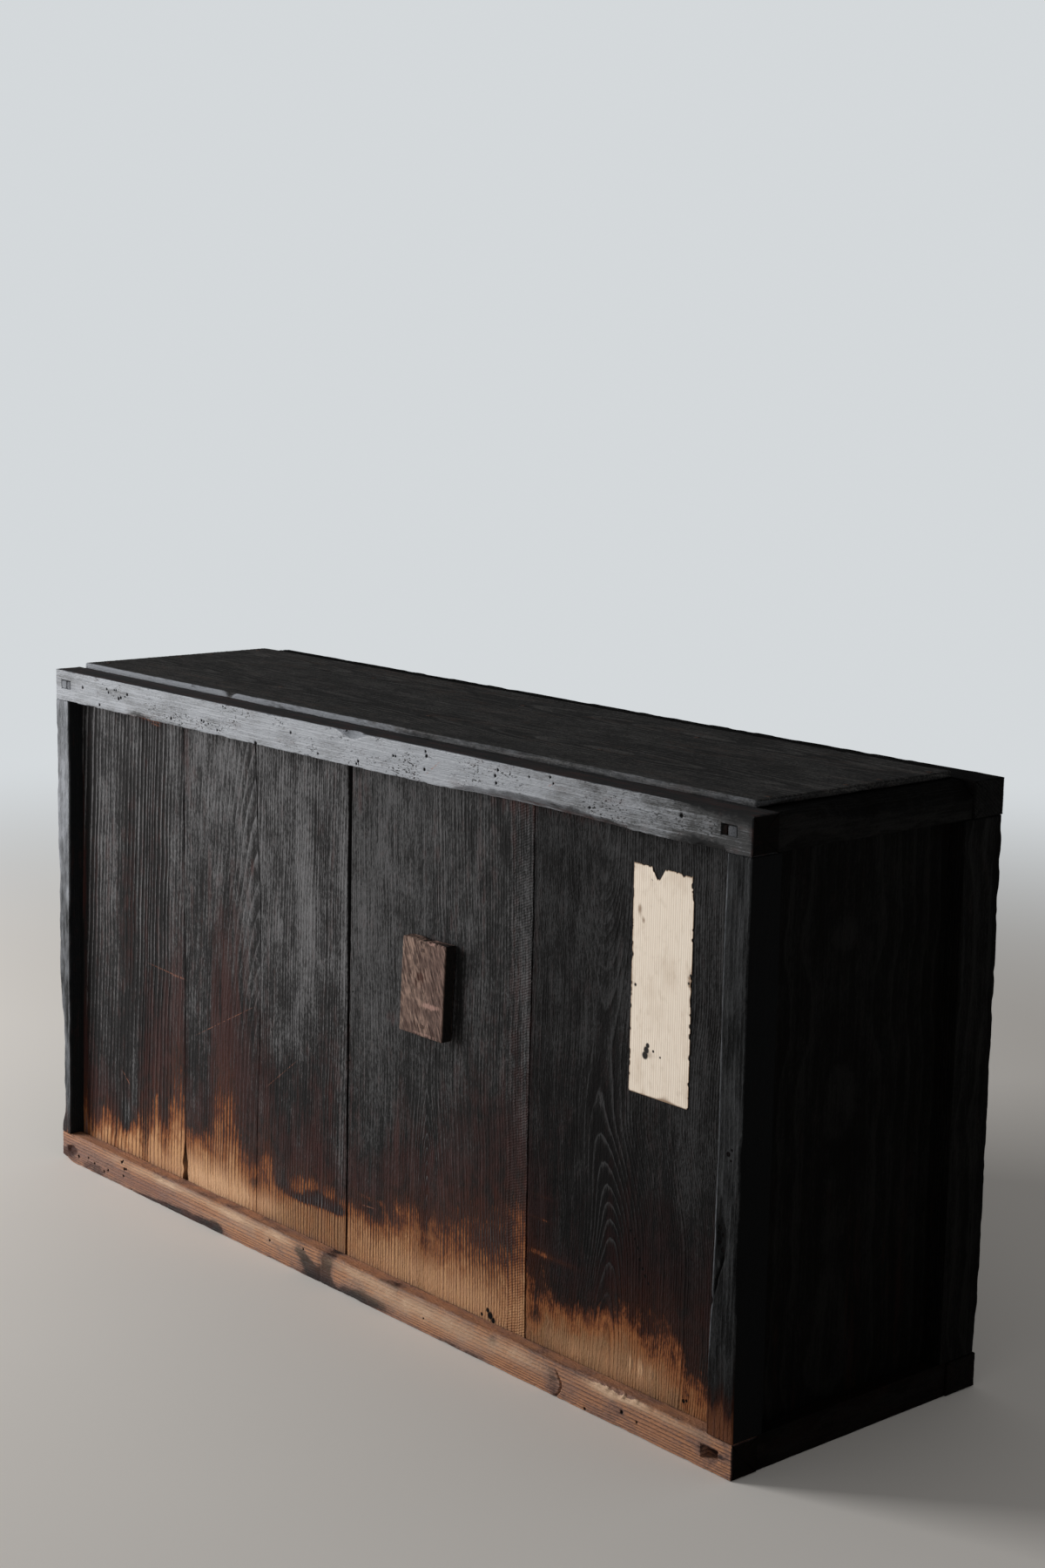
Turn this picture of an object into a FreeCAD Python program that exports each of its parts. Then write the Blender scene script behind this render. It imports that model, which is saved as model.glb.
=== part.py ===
import FreeCAD, Part

import os

# A low, wide, free-standing storage chest of joined cedar: a tenoned frame of rails and posts,
# upright boards in the front, sides and back, and a lift-out door board in the front.
# Millimetres. X runs along the front, the front faces -Y, Z is up, the origin is under the middle.

# Overall frame
chest_width = 1515.0
chest_depth = 448.0
frame_height = 800.0

# Rails and posts
corner_width = 58.0
front_rail_depth = 44.0
back_rail_depth = 57.0
top_rail_height = 48.0
sill_height = 46.0
front_post_depth = 51.0
back_post_depth = 72.0
nose_width_top = {-1: 34.5, 1: 38.5}
nose_width_foot = {-1: 24.0, 1: 43.0}
arris_wear = 2.5

# Front boards and the grooves that hold them
board_recess = 24.0
board_thickness = 12.0
groove_play = 0.5
edge_play = 0.5
top_groove_depth = 16.0
sill_groove_depth = 5.0
seam_shares_top = (0.2003, 0.3303, 0.4820, 0.4879, 0.7496)
seam_shares_foot = (0.2060, 0.3381, 0.4861, 0.4880, 0.7529)
seam_width = 0.8

# Door board
door_entry = 7.0
lift_headroom = 0.3
batten_height = 40.0
batten_thickness = 14.0
batten_end_inset = 6.0
batten_height_shares = (0.20, 0.80)
dovetail_depth = 5.0
dovetail_flare = 4.0

# Pull block and its nails
pull_width = 91.0
pull_height = 132.0
pull_thickness = 18.0
pull_offset = -8.0
pull_centre_height = 474.0
pull_lean = 7.0
pull_edge_bevel = 2.0
pull_chip_width = 14.0
pull_chip_depth = 4.0
pull_nail_inset = 14.0

# Through tenons and their wedges
tenon_inset = {-1: 17.0, 1: 24.5}
tenon_width = 15.0
tenon_height = 13.0
wedge_width = 11.5
wedge_tip = 3.0
wedge_length = 36.0
top_tenon_drop = 16.0
sill_tenon_rise = 17.0
sill_tenon_setback = {-1: 8.0, 1: 15.0}

# Stub tenons of the posts
stub_length = 14.0
stub_width = 12.0
stub_inset = 6.0
stub_edge = 9.0

# Side and back boards
side_board_recess = 24.0
panel_thickness = 11.0
panel_groove_depth = 8.0
back_board_recess = 14.0
back_board_count = 4

# Side rails
side_rail_drop = 1.5
side_rail_setback = 2.0
side_wane_width = 30.0
side_wane_depth = 13.0
side_wane_start = 2.0

# Top boards
top_board_thickness = 9.5
top_end_inset = {-1: 15.0, 1: 38.0}
top_joint_share = 0.56
top_edge_play = 0.5

# Bearers and floor
bearer_width = 40.0
top_bearer_height = 28.0
floor_bearer_height = 30.0
bearer_tenon_length = 10.0
bearer_tenon_height = 14.0
bearer_tenon_width = 20.0
top_bearer_count = 3
floor_bearer_count = 4
floor_board_thickness = 12.0
floor_play = 0.5

# Wrought nails
nail_head_length = 7.0
nail_head_width = 4.5
nail_head_thickness = 1.2
nail_shank = 3.0
nail_point = 1.0
nail_length = 26.0
top_nail_edge = 30.0

# Paper slip
slip_width = 103.0
slip_height = 284.0
slip_thickness = 0.4
slip_centre_share = 0.66
slip_drop = 44.0

# Wear and breaks along the arrises of the frame
chip_length = 70.0
chip_depth = 6.0
chip_place_share = 0.51
wane_length = 300.0
wane_depth = 8.0
wane_place_share = 0.733
step_wear_depth = 5.0
foot_corner_wear = 9.0
post_wear_length = 190.0
post_wear_depth = 5.0
back_foot_round = 8.0

# Places worked out from the sizes above
half_width = chest_width / 2
front = -chest_depth / 2
back = chest_depth / 2
rail_underside = frame_height - top_rail_height
side_rail_top = frame_height - side_rail_drop
groove_front = board_recess - groove_play
groove_back = board_recess + board_thickness + groove_play
overrun = 10.0


def from_end(side, inset):
    return side * (half_width - inset)


def from_front(inset):
    return front + inset


def from_back(inset):
    return back - inset


def box(x_pair, y_pair, z_pair):
    """A rectangular block between two values on each axis, given in either order."""
    low = FreeCAD.Vector(min(x_pair), min(y_pair), min(z_pair))
    size = [max(pair) - min(pair) for pair in (x_pair, y_pair, z_pair)]
    return Part.makeBox(size[0], size[1], size[2], low)


def prism(points, travel):
    """The closed polygon through the points, carried along the vector."""
    wire = Part.makePolygon(points + [points[0]])
    return Part.Face(wire).extrude(travel)


def front_outline(outline, y_start, y_end):
    """A polygon drawn on the front view (X, Z), carried from one depth to the other."""
    points = [FreeCAD.Vector(x, y_start, z) for x, z in outline]
    return prism(points, FreeCAD.Vector(0, y_end - y_start, 0))


def plan_outline(outline, z_start, z_end):
    """A polygon drawn on the plan (X, Y), carried from one height to the other."""
    points = [FreeCAD.Vector(x, y, z_start) for x, y in outline]
    return prism(points, FreeCAD.Vector(0, 0, z_end - z_start))


def end_outline(outline, x_start, x_end):
    """A polygon drawn on the end view (Y, Z), carried from one end to the other."""
    points = [FreeCAD.Vector(x_start, y, z) for y, z in outline]
    return prism(points, FreeCAD.Vector(x_end - x_start, 0, 0))


def arris_scoop(middle, along, outward, length, depth):
    """A shallow scoop out of an arris: a wide cylinder lying across it, so the cut fades at its ends."""
    radius = (length * length / 4 + depth * depth) / (2 * depth)
    outward = FreeCAD.Vector(outward)
    outward.normalize()
    across = FreeCAD.Vector(along).cross(outward)
    across.normalize()
    centre = middle + outward * (radius - depth) - across * (length / 2)
    return Part.makeCylinder(radius, length, centre, across)


def arris_bevel(start, end, first, second, size):
    """A triangular prism that takes the sharp edge between two faces off, from start to end."""
    first = FreeCAD.Vector(first) * size
    second = FreeCAD.Vector(second) * size
    corners = [start - first - second, start + first * 2 - second, start - first + second * 2]
    return prism(corners, end - start)


def cut_all(shape, tools):
    for tool in tools:
        shape = shape.cut(tool)
    return shape


def joined(shapes):
    whole = shapes[0]
    for shape in shapes[1:]:
        whole = whole.fuse(shape)
    return whole.removeSplitter()


def save(name, shape):
    shape.exportStep("parts/" + name + ".step")


# Joints of the frame

def post_stub(side, y_pair, z_joint, upward):
    """The stub tenon between a post and the rail above or below it."""
    x_pair = (from_end(side, stub_inset), from_end(side, stub_inset + stub_width))
    z_end = z_joint + stub_length if upward else z_joint - stub_length
    return box(x_pair, y_pair, (z_joint, z_end))


def front_stub_depths():
    return (from_front(stub_edge), from_front(board_recess + board_thickness))


def back_stub_depths():
    return (from_back(stub_edge), from_back(back_rail_depth - stub_edge))


def through_tenon(side, level, y_pair):
    """The through tenon at one end of a side rail, standing at a height above the floor."""
    inset = tenon_inset[side]
    x_pair = (from_end(side, inset), from_end(side, inset + tenon_width))
    return box(x_pair, y_pair, (level, level + tenon_height))


def tenon_wedge(side, level, outer_y, inward):
    """The wedge driven in beside a through tenon from the outer face of the rail."""
    start = tenon_inset[side] + tenon_width
    inner_y = outer_y + inward * wedge_length
    outline = [
        (from_end(side, start), outer_y),
        (from_end(side, start + wedge_width), outer_y),
        (from_end(side, start + wedge_tip), inner_y),
        (from_end(side, start), inner_y),
    ]
    return plan_outline(outline, level, level + tenon_height)


top_tenon_level = frame_height - top_tenon_drop - tenon_height
sill_tenon_level = sill_tenon_rise


def rail_mortises(level, outer_y, inner_y):
    """The two through mortises of a long rail, each with room for its wedge."""
    inward = 1 if inner_y > outer_y else -1
    cuts = []
    for side in (-1, 1):
        cuts.append(through_tenon(side, level, (outer_y, inner_y)))
        cuts.append(tenon_wedge(side, level, outer_y, inward))
    return cuts


def bearer_centres(count, to_the_ends):
    """The places of the bearers along the chest, evenly spread between the side rails."""
    span = chest_width - 2 * corner_width
    if to_the_ends:
        first = -span / 2 + bearer_width
        return [first + (span - 2 * bearer_width) * i / (count - 1) for i in range(count)]
    return [-span / 2 + span * (i + 1) / (count + 1) for i in range(count)]


top_bearer_x = bearer_centres(top_bearer_count, False)
floor_bearer_x = bearer_centres(floor_bearer_count, True)
top_bearer_foot = side_rail_top - top_bearer_height
floor_board_foot = sill_height - floor_board_thickness
floor_bearer_foot = floor_board_foot - floor_bearer_height


def bearer_tenon(x, z_foot, height, y_pair):
    """The stub tenon at one end of a bearer."""
    z_low = z_foot + (height - bearer_tenon_height) / 2
    x_pair = (x - bearer_tenon_width / 2, x + bearer_tenon_width / 2)
    return box(x_pair, y_pair, (z_low, z_low + bearer_tenon_height))


def front_bearer_depths():
    return (from_front(front_rail_depth - bearer_tenon_length), from_front(front_rail_depth))


def back_bearer_depths():
    return (from_back(back_rail_depth), from_back(back_rail_depth - bearer_tenon_length))


# The four long rails

def nose_inner(side, z):
    """The inner face of a front post's nose, which leans a little, at a height."""
    share = (z - sill_height) / (rail_underside - sill_height)
    return from_end(side, nose_width_foot[side] + (nose_width_top[side] - nose_width_foot[side]) * share)


def front_arris_bevels(z_low, z_high):
    corners = (
        (FreeCAD.Vector(-half_width, front, z_low), (0, 0, 1)),
        (FreeCAD.Vector(-half_width, front, z_high), (0, 0, -1)),
    )
    run = FreeCAD.Vector(chest_width, 0, 0)
    return [arris_bevel(start, start + run, (0, 1, 0), inward, arris_wear) for start, inward in corners]


def front_top_rail():
    y_pair = (front, from_front(front_rail_depth))
    rail = box((-half_width, half_width), y_pair, (rail_underside, frame_height))
    groove_x = (nose_inner(-1, rail_underside), nose_inner(1, rail_underside))
    groove_y = (from_front(groove_front), from_front(groove_back))
    cuts = [box(groove_x, groove_y, (rail_underside, rail_underside + top_groove_depth))]
    cuts += rail_mortises(top_tenon_level, front, from_front(front_rail_depth))
    cuts += [post_stub(side, front_stub_depths(), rail_underside, True) for side in (-1, 1)]
    for x in top_bearer_x:
        cuts.append(bearer_tenon(x, top_bearer_foot, top_bearer_height, front_bearer_depths()))
    cuts += front_arris_bevels(rail_underside, frame_height)
    along = FreeCAD.Vector(1, 0, 0)
    chip = FreeCAD.Vector(-half_width + chest_width * chip_place_share, front, frame_height)
    wane = FreeCAD.Vector(-half_width + chest_width * wane_place_share, front, rail_underside)
    cuts.append(arris_scoop(chip, along, (0, -1, 1), chip_length, chip_depth))
    cuts.append(arris_scoop(wane, along, (0, -1, -1), wane_length, wane_depth))
    return cut_all(rail, cuts)


def front_sill():
    rail = box((-half_width, half_width), (front, from_front(front_rail_depth)), (0, sill_height))
    groove_x = (nose_inner(-1, sill_height), nose_inner(1, sill_height))
    groove_y = (from_front(groove_front), from_front(groove_back))
    cuts = [box(groove_x, groove_y, (sill_height - sill_groove_depth, sill_height))]
    cuts += rail_mortises(sill_tenon_level, front, from_front(front_rail_depth))
    cuts += [post_stub(side, front_stub_depths(), sill_height, False) for side in (-1, 1)]
    for x in floor_bearer_x:
        cuts.append(bearer_tenon(x, floor_bearer_foot, floor_bearer_height, front_bearer_depths()))
    cuts += front_arris_bevels(0, sill_height)
    along = FreeCAD.Vector(1, 0, 0)
    opening = chest_width - 2 * corner_width
    middle = FreeCAD.Vector(0, front, sill_height)
    cuts.append(arris_scoop(middle, along, (0, -1, 1), opening, step_wear_depth))
    corner = FreeCAD.Vector(-half_width, front, 0)
    depth = FreeCAD.Vector(0, front_rail_depth, 0)
    cuts.append(arris_bevel(corner, corner + depth, (1, 0, 0), (0, 0, 1), foot_corner_wear))
    return cut_all(rail, cuts)


def back_groove_depths():
    return (
        from_back(back_board_recess - groove_play),
        from_back(back_board_recess + panel_thickness + groove_play),
    )


def back_rail(z_low, z_high, upper):
    y_pair = (from_back(back_rail_depth), back)
    rail = box((-half_width, half_width), y_pair, (z_low, z_high))
    groove_end = corner_width - panel_groove_depth
    groove_x = (from_end(-1, groove_end), from_end(1, groove_end))
    z_joint = z_low if upper else z_high
    z_groove = z_joint + panel_groove_depth if upper else z_joint - panel_groove_depth
    cuts = [box(groove_x, back_groove_depths(), (z_joint, z_groove))]
    level = top_tenon_level if upper else sill_tenon_level
    cuts += rail_mortises(level, back, from_back(back_rail_depth))
    cuts += [post_stub(side, back_stub_depths(), z_joint, upper) for side in (-1, 1)]
    centres = top_bearer_x if upper else floor_bearer_x
    foot = top_bearer_foot if upper else floor_bearer_foot
    height = top_bearer_height if upper else floor_bearer_height
    cuts += [bearer_tenon(x, foot, height, back_bearer_depths()) for x in centres]
    if not upper:
        corner = FreeCAD.Vector(half_width, back, 0)
        depth = FreeCAD.Vector(0, -back_rail_depth, 0)
        cuts.append(arris_bevel(corner, corner + depth, (-1, 0, 0), (0, 0, 1), back_foot_round))
    return cut_all(rail, cuts)


# Posts

def front_post(side):
    """A post with a narrow nose in front of the boards and a wider shoulder behind them."""
    shoulder_y = (from_front(groove_back), from_front(front_post_depth))
    shoulder_x = (from_end(side, 0), from_end(side, corner_width))
    shoulder = box(shoulder_x, shoulder_y, (sill_height, rail_underside))
    outline = [
        (from_end(side, 0), sill_height),
        (nose_inner(side, sill_height), sill_height),
        (nose_inner(side, rail_underside), rail_underside),
        (from_end(side, 0), rail_underside),
    ]
    nose = front_outline(outline, front, from_front(groove_back))
    stubs = [
        post_stub(side, front_stub_depths(), rail_underside, True),
        post_stub(side, front_stub_depths(), sill_height, False),
    ]
    post = joined([nose, shoulder] + stubs)
    cuts = [side_board_groove(side, from_front(front_post_depth), -1)]
    corner = FreeCAD.Vector(from_end(side, 0), front, sill_height)
    rise = FreeCAD.Vector(0, 0, rail_underside - sill_height)
    cuts.append(arris_bevel(corner, corner + rise, (-side, 0, 0), (0, 1, 0), arris_wear))
    if side < 0:
        worn = FreeCAD.Vector(from_end(side, 0), front, sill_height + post_wear_length)
        upright = FreeCAD.Vector(0, 0, 1)
        cuts.append(arris_scoop(worn, upright, (side, -1, 0), post_wear_length, post_wear_depth))
    return cut_all(post, cuts)


def side_board_groove(side, face_y, inward):
    """The groove for the side board in the face of a post."""
    x_pair = (
        from_end(side, side_board_recess - groove_play),
        from_end(side, side_board_recess + panel_thickness + groove_play),
    )
    return box(x_pair, (face_y, face_y + inward * panel_groove_depth), (sill_height, rail_underside))


def back_post(side):
    y_pair = (from_back(back_post_depth), back)
    post = box((from_end(side, 0), from_end(side, corner_width)), y_pair, (sill_height, rail_underside))
    stubs = [
        post_stub(side, back_stub_depths(), rail_underside, True),
        post_stub(side, back_stub_depths(), sill_height, False),
    ]
    post = joined([post] + stubs)
    groove_x = (from_end(side, corner_width), from_end(side, corner_width - panel_groove_depth))
    cuts = [
        side_board_groove(side, from_back(back_post_depth), 1),
        box(groove_x, back_groove_depths(), (sill_height, rail_underside)),
    ]
    return cut_all(post, cuts)


# Side rails

side_rail_front = from_front(front_rail_depth)
side_rail_back = from_back(back_rail_depth)


def side_rail(side, upper):
    """A short rail between the long rails, with a through tenon at each end."""
    z_pair = (rail_underside, side_rail_top) if upper else (0, sill_height)
    x_pair = (from_end(side, side_rail_setback), from_end(side, corner_width))
    rail = box(x_pair, (side_rail_front, side_rail_back), z_pair)
    level = top_tenon_level if upper else sill_tenon_level
    front_end = front if upper else from_front(sill_tenon_setback[side])
    rail = joined([
        rail,
        through_tenon(side, level, (front_end, side_rail_front)),
        through_tenon(side, level, (side_rail_back, back)),
    ])
    groove_x = (
        from_end(side, side_board_recess - groove_play),
        from_end(side, side_board_recess + panel_thickness + groove_play),
    )
    z_joint = rail_underside if upper else sill_height
    z_groove = z_joint + panel_groove_depth if upper else z_joint - panel_groove_depth
    cuts = [box(groove_x, (side_rail_front, side_rail_back), (z_joint, z_groove))]
    if upper:
        cuts.append(side_wane(side))
    return cut_all(rail, cuts)


def side_wane(side):
    """The natural slope along a top side rail's outer arris, nothing in front and widest at the back."""
    def corner_outline(y, width, depth):
        outer_x = from_end(side, 0)
        inner_x = from_end(side, side_rail_setback + width)
        points = [
            FreeCAD.Vector(outer_x, y, side_rail_top + overrun),
            FreeCAD.Vector(inner_x, y, side_rail_top + overrun),
            FreeCAD.Vector(inner_x, y, side_rail_top),
            FreeCAD.Vector(outer_x, y, side_rail_top - depth),
        ]
        return Part.makePolygon(points + [points[0]])

    near = corner_outline(side_rail_front, side_wane_start, side_wane_start)
    far = corner_outline(side_rail_back, side_wane_width, side_wane_depth)
    return Part.makeLoft([near, far], True, True)


# Front boards

def opening_x(share, z):
    """A place across the front opening at a height, as a share from its left edge."""
    left = nose_inner(-1, z)
    return left + (nose_inner(1, z) - left) * share


def front_board(left, right, top_z):
    """An upright board whose edges run between two places at the rail and at the sill.

    left and right are pairs: the X at the rail's underside and the X at the sill's top.
    """
    foot_z = sill_height - sill_groove_depth

    def edge(pair, z):
        share = (z - sill_height) / (rail_underside - sill_height)
        return pair[1] + (pair[0] - pair[1]) * share

    outline = [
        (edge(left, foot_z), foot_z),
        (edge(right, foot_z), foot_z),
        (edge(right, top_z), top_z),
        (edge(left, top_z), top_z),
    ]
    return front_outline(outline, from_front(board_recess), from_front(board_recess + board_thickness))


def seam(index, shift):
    """The two X values of a seam, moved sideways by a distance."""
    top = opening_x(seam_shares_top[index], rail_underside) + shift
    foot = opening_x(seam_shares_foot[index], sill_height) + shift
    return (top, foot)


def post_edge(side):
    top = nose_inner(side, rail_underside) - side * edge_play
    foot = nose_inner(side, sill_height) - side * edge_play
    return (top, foot)


fixed_top = rail_underside + top_groove_depth - lift_headroom
door_top = rail_underside + door_entry
half_seam = seam_width / 2
door_left = seam(3, 0)
door_right = seam(4, -half_seam)
last_board_left = seam(4, half_seam)
last_board_right = post_edge(1)


def front_boards():
    return {
        "front_board_1": front_board(post_edge(-1), seam(0, -half_seam), fixed_top),
        "front_board_2": front_board(seam(0, half_seam), seam(1, 0), fixed_top),
        "front_board_3": front_board(seam(1, 0), seam(2, 0), fixed_top),
        "front_board_4": front_board(last_board_left, last_board_right, fixed_top),
    }


# The door board, its battens and its pull

door_back = from_front(board_recess + board_thickness)


def batten_middles():
    return [sill_height + (rail_underside - sill_height) * share for share in batten_height_shares]


def batten_dovetail(z_middle, x_pair):
    """The tongue of a batten, wider at its bottom than at its mouth in the board's back."""
    half = batten_height / 2
    deep = door_back - dovetail_depth
    outline = [
        (door_back, z_middle - half + dovetail_flare),
        (door_back, z_middle + half - dovetail_flare),
        (deep, z_middle + half),
        (deep, z_middle - half),
    ]
    return end_outline(outline, x_pair[0], x_pair[1])


def door_edges_at(z):
    share = (z - sill_height) / (rail_underside - sill_height)
    left = door_left[1] + (door_left[0] - door_left[1]) * share
    right = door_right[1] + (door_right[0] - door_right[1]) * share
    return left, right


def door_battens():
    battens = []
    for z in batten_middles():
        left, right = door_edges_at(z)
        x_pair = (left + batten_end_inset, right - batten_end_inset)
        half = batten_height / 2
        bar = box(x_pair, (door_back, door_back + batten_thickness), (z - half, z + half))
        inner = FreeCAD.Vector(x_pair[0], door_back + batten_thickness, 0)
        run = FreeCAD.Vector(x_pair[1] - x_pair[0], 0, 0)
        for sign in (-1, 1):
            start = FreeCAD.Vector(inner.x, inner.y, z + sign * half)
            bar = bar.cut(arris_bevel(start, start + run, (0, -1, 0), (0, 0, -sign), dovetail_flare))
        battens.append(joined([bar, batten_dovetail(z, x_pair)]))
    return battens


pull_x = (door_edges_at(pull_centre_height)[0] + door_edges_at(pull_centre_height)[1]) / 2 + pull_offset
board_front = from_front(board_recess)


def pull_outline():
    """The block's front view: a slightly leaning rectangle with a chip out of its top edge."""
    half_w = pull_width / 2
    half_h = pull_height / 2
    lean = pull_lean / 2
    z_low = pull_centre_height - half_h
    z_high = pull_centre_height + half_h
    return [
        (pull_x - half_w - lean, z_low),
        (pull_x + half_w - lean, z_low),
        (pull_x + half_w + lean, z_high),
        (pull_x + pull_chip_width / 2 + lean, z_high),
        (pull_x + lean, z_high - pull_chip_depth),
        (pull_x - pull_chip_width / 2 + lean, z_high),
        (pull_x - half_w + lean, z_high),
    ]


def pull_nails():
    reach = pull_height / 2 - pull_nail_inset
    y = board_front - pull_thickness
    return [
        nail(FreeCAD.Vector(pull_x, y, pull_centre_height + sign * reach), FreeCAD.Vector(0, 1, 0))
        for sign in (-1, 1)
    ]


def pull_block():
    y_outer = board_front - pull_thickness
    block = front_outline(pull_outline(), board_front, y_outer)
    lean = pull_lean / 2
    half_w = pull_width / 2
    half_h = pull_height / 2
    for side in (-1, 1):
        start = FreeCAD.Vector(pull_x + side * half_w - lean, y_outer, pull_centre_height - half_h)
        end = FreeCAD.Vector(pull_x + side * half_w + lean, y_outer, pull_centre_height + half_h)
        block = block.cut(arris_bevel(start, end, (-side, 0, 0), (0, 1, 0), pull_edge_bevel))
    return cut_all(block, pull_nails())


def door_board():
    board = front_board(door_left, door_right, door_top)
    cuts = [batten_dovetail(z, (door_left[0] - overrun, door_right[0] + overrun)) for z in batten_middles()]
    return cut_all(board, cuts + pull_nails())


# Wrought nails

def nail(head, direction):
    """A square nail with a flat head, its shank tapering one way to a blunt point."""
    frame = FreeCAD.Rotation(FreeCAD.Vector(0, 0, -1), direction)
    half_head = nail_head_length / 2
    half_shank = nail_shank / 2
    half_point = nail_point / 2
    top = [
        FreeCAD.Vector(-half_head, -nail_head_width / 2, 0),
        FreeCAD.Vector(half_head, -nail_head_width / 2, 0),
        FreeCAD.Vector(half_head, nail_head_width / 2, 0),
        FreeCAD.Vector(-half_head, nail_head_width / 2, 0),
    ]
    plate = prism(top, FreeCAD.Vector(0, 0, -nail_head_thickness))
    profile = [
        FreeCAD.Vector(-half_shank, -half_shank, -nail_head_thickness),
        FreeCAD.Vector(half_shank, -half_shank, -nail_head_thickness),
        FreeCAD.Vector(half_point, -half_shank, -nail_length),
        FreeCAD.Vector(-half_point, -half_shank, -nail_length),
    ]
    shank = prism(profile, FreeCAD.Vector(0, nail_shank, 0))
    whole = plate.fuse(shank)
    whole.Placement = FreeCAD.Placement(head, frame)
    return whole


# Top boards, bearers and floor

top_surface = side_rail_top + top_board_thickness
top_front = from_front(front_rail_depth + top_edge_play)
top_back = from_back(back_rail_depth + top_edge_play)
top_joint = top_front + (top_back - top_front) * top_joint_share


def top_nails():
    """Two nails through each top board into each side rail, and one into each bearer."""
    down = FreeCAD.Vector(0, 0, -1)
    nails = []
    for y_low, y_high in ((top_front, top_joint), (top_joint, top_back)):
        for side in (-1, 1):
            x = from_end(side, (top_end_inset[side] + corner_width) / 2)
            for y in (y_low + top_nail_edge, y_high - top_nail_edge):
                nails.append(nail(FreeCAD.Vector(x, y, top_surface), down))
        for x in top_bearer_x:
            nails.append(nail(FreeCAD.Vector(x, (y_low + y_high) / 2, top_surface), down))
    return nails


def top_board(y_low, y_high):
    x_pair = (from_end(-1, top_end_inset[-1]), from_end(1, top_end_inset[1]))
    return cut_all(box(x_pair, (y_low, y_high), (side_rail_top, top_surface)), top_nails())


def bearer(x, z_foot, height):
    x_pair = (x - bearer_width / 2, x + bearer_width / 2)
    bar = box(x_pair, (side_rail_front, side_rail_back), (z_foot, z_foot + height))
    return joined([
        bar,
        bearer_tenon(x, z_foot, height, front_bearer_depths()),
        bearer_tenon(x, z_foot, height, back_bearer_depths()),
    ])


def floor_board(y_low, y_high):
    x_pair = (from_end(-1, corner_width + floor_play), from_end(1, corner_width + floor_play))
    return box(x_pair, (y_low, y_high), (floor_board_foot, sill_height))


# Side and back boards

def side_board(side):
    x_pair = (from_end(side, side_board_recess), from_end(side, side_board_recess + panel_thickness))
    y_pair = (side_rail_front + groove_play, from_back(back_post_depth - panel_groove_depth + groove_play))
    z_pair = (sill_height - panel_groove_depth, rail_underside + panel_groove_depth - groove_play)
    return box(x_pair, y_pair, z_pair)


def back_board(index):
    reach = panel_groove_depth - groove_play
    left = from_end(-1, corner_width) - reach
    width = (chest_width - 2 * corner_width + 2 * reach) / back_board_count
    right_play = seam_width if index < back_board_count - 1 else 0
    x_pair = (left + width * index, left + width * (index + 1) - right_play)
    y_pair = (from_back(back_board_recess), from_back(back_board_recess + panel_thickness))
    z_pair = (sill_height - panel_groove_depth, rail_underside + panel_groove_depth - groove_play)
    return box(x_pair, y_pair, z_pair)


# Paper slip

slip_left_shares = ((0.00, 0.00), (0.02, 0.25), (0.00, 0.55), (0.03, 0.80), (0.00, 0.985))
slip_top_shares = ((0.22, 0.965), (0.30, 0.985), (0.38, 0.94), (0.46, 0.98), (0.70, 1.00), (0.97, 0.985))
slip_right_shares = ((1.00, 0.93), (0.96, 0.88), (1.00, 0.72), (0.97, 0.40), (1.00, 0.02), (0.55, 0.00))


def paper_slip():
    """A pasted slip with a torn upper edge; its outline is given as shares of its width and height."""
    z = rail_underside - slip_drop - slip_height / 2
    board_width = last_board_right[1] - last_board_left[1]
    left = last_board_left[1] + board_width * slip_centre_share - slip_width / 2
    outline = [
        (left + slip_width * u, z - slip_height / 2 + slip_height * v)
        for u, v in slip_left_shares + slip_top_shares + slip_right_shares
    ]
    return front_outline(outline, board_front - slip_thickness, board_front)


def main():
    os.makedirs("parts", exist_ok=True)
    save("front_top_rail", front_top_rail())
    save("front_sill", front_sill())
    save("back_top_rail", back_rail(rail_underside, frame_height, True))
    save("back_bottom_rail", back_rail(0, sill_height, False))
    nailed = top_nails()
    for side, word in ((-1, "left"), (1, "right")):
        save("front_post_" + word, front_post(side))
        save("back_post_" + word, back_post(side))
        save("side_top_rail_" + word, cut_all(side_rail(side, True), nailed))
        save("side_bottom_rail_" + word, side_rail(side, False))
        save("side_board_" + word, side_board(side))
    wedges = [tenon_wedge(side, top_tenon_level, front, 1) for side in (-1, 1)]
    for level in (top_tenon_level, sill_tenon_level):
        wedges += [tenon_wedge(side, level, back, -1) for side in (-1, 1)]
    save("tenon_wedges", Part.makeCompound(wedges))
    for name, board in front_boards().items():
        save(name, board)
    save("door_board", door_board())
    for batten, word in zip(door_battens(), ("lower", "upper")):
        save("door_batten_" + word, batten)
    save("pull_block", pull_block())
    save("pull_nails", Part.makeCompound(pull_nails()))
    save("paper_slip", paper_slip())
    for index in range(back_board_count):
        save("back_board_" + str(index + 1), back_board(index))
    for index, x in enumerate(top_bearer_x):
        save("top_bearer_" + str(index + 1), cut_all(bearer(x, top_bearer_foot, top_bearer_height), nailed))
    for index, x in enumerate(floor_bearer_x):
        save("floor_bearer_" + str(index + 1), bearer(x, floor_bearer_foot, floor_bearer_height))
    save("top_board_front", top_board(top_front, top_joint))
    save("top_board_back", top_board(top_joint, top_back))
    save("top_nails", Part.makeCompound(nailed))
    floor_front = side_rail_front + floor_play
    floor_back = side_rail_back - floor_play
    floor_joint = (floor_front + floor_back) / 2
    save("floor_board_front", floor_board(floor_front, floor_joint))
    save("floor_board_back", floor_board(floor_joint, floor_back))


main()
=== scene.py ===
import bpy
import numpy as np
from mathutils import Matrix, Vector


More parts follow.
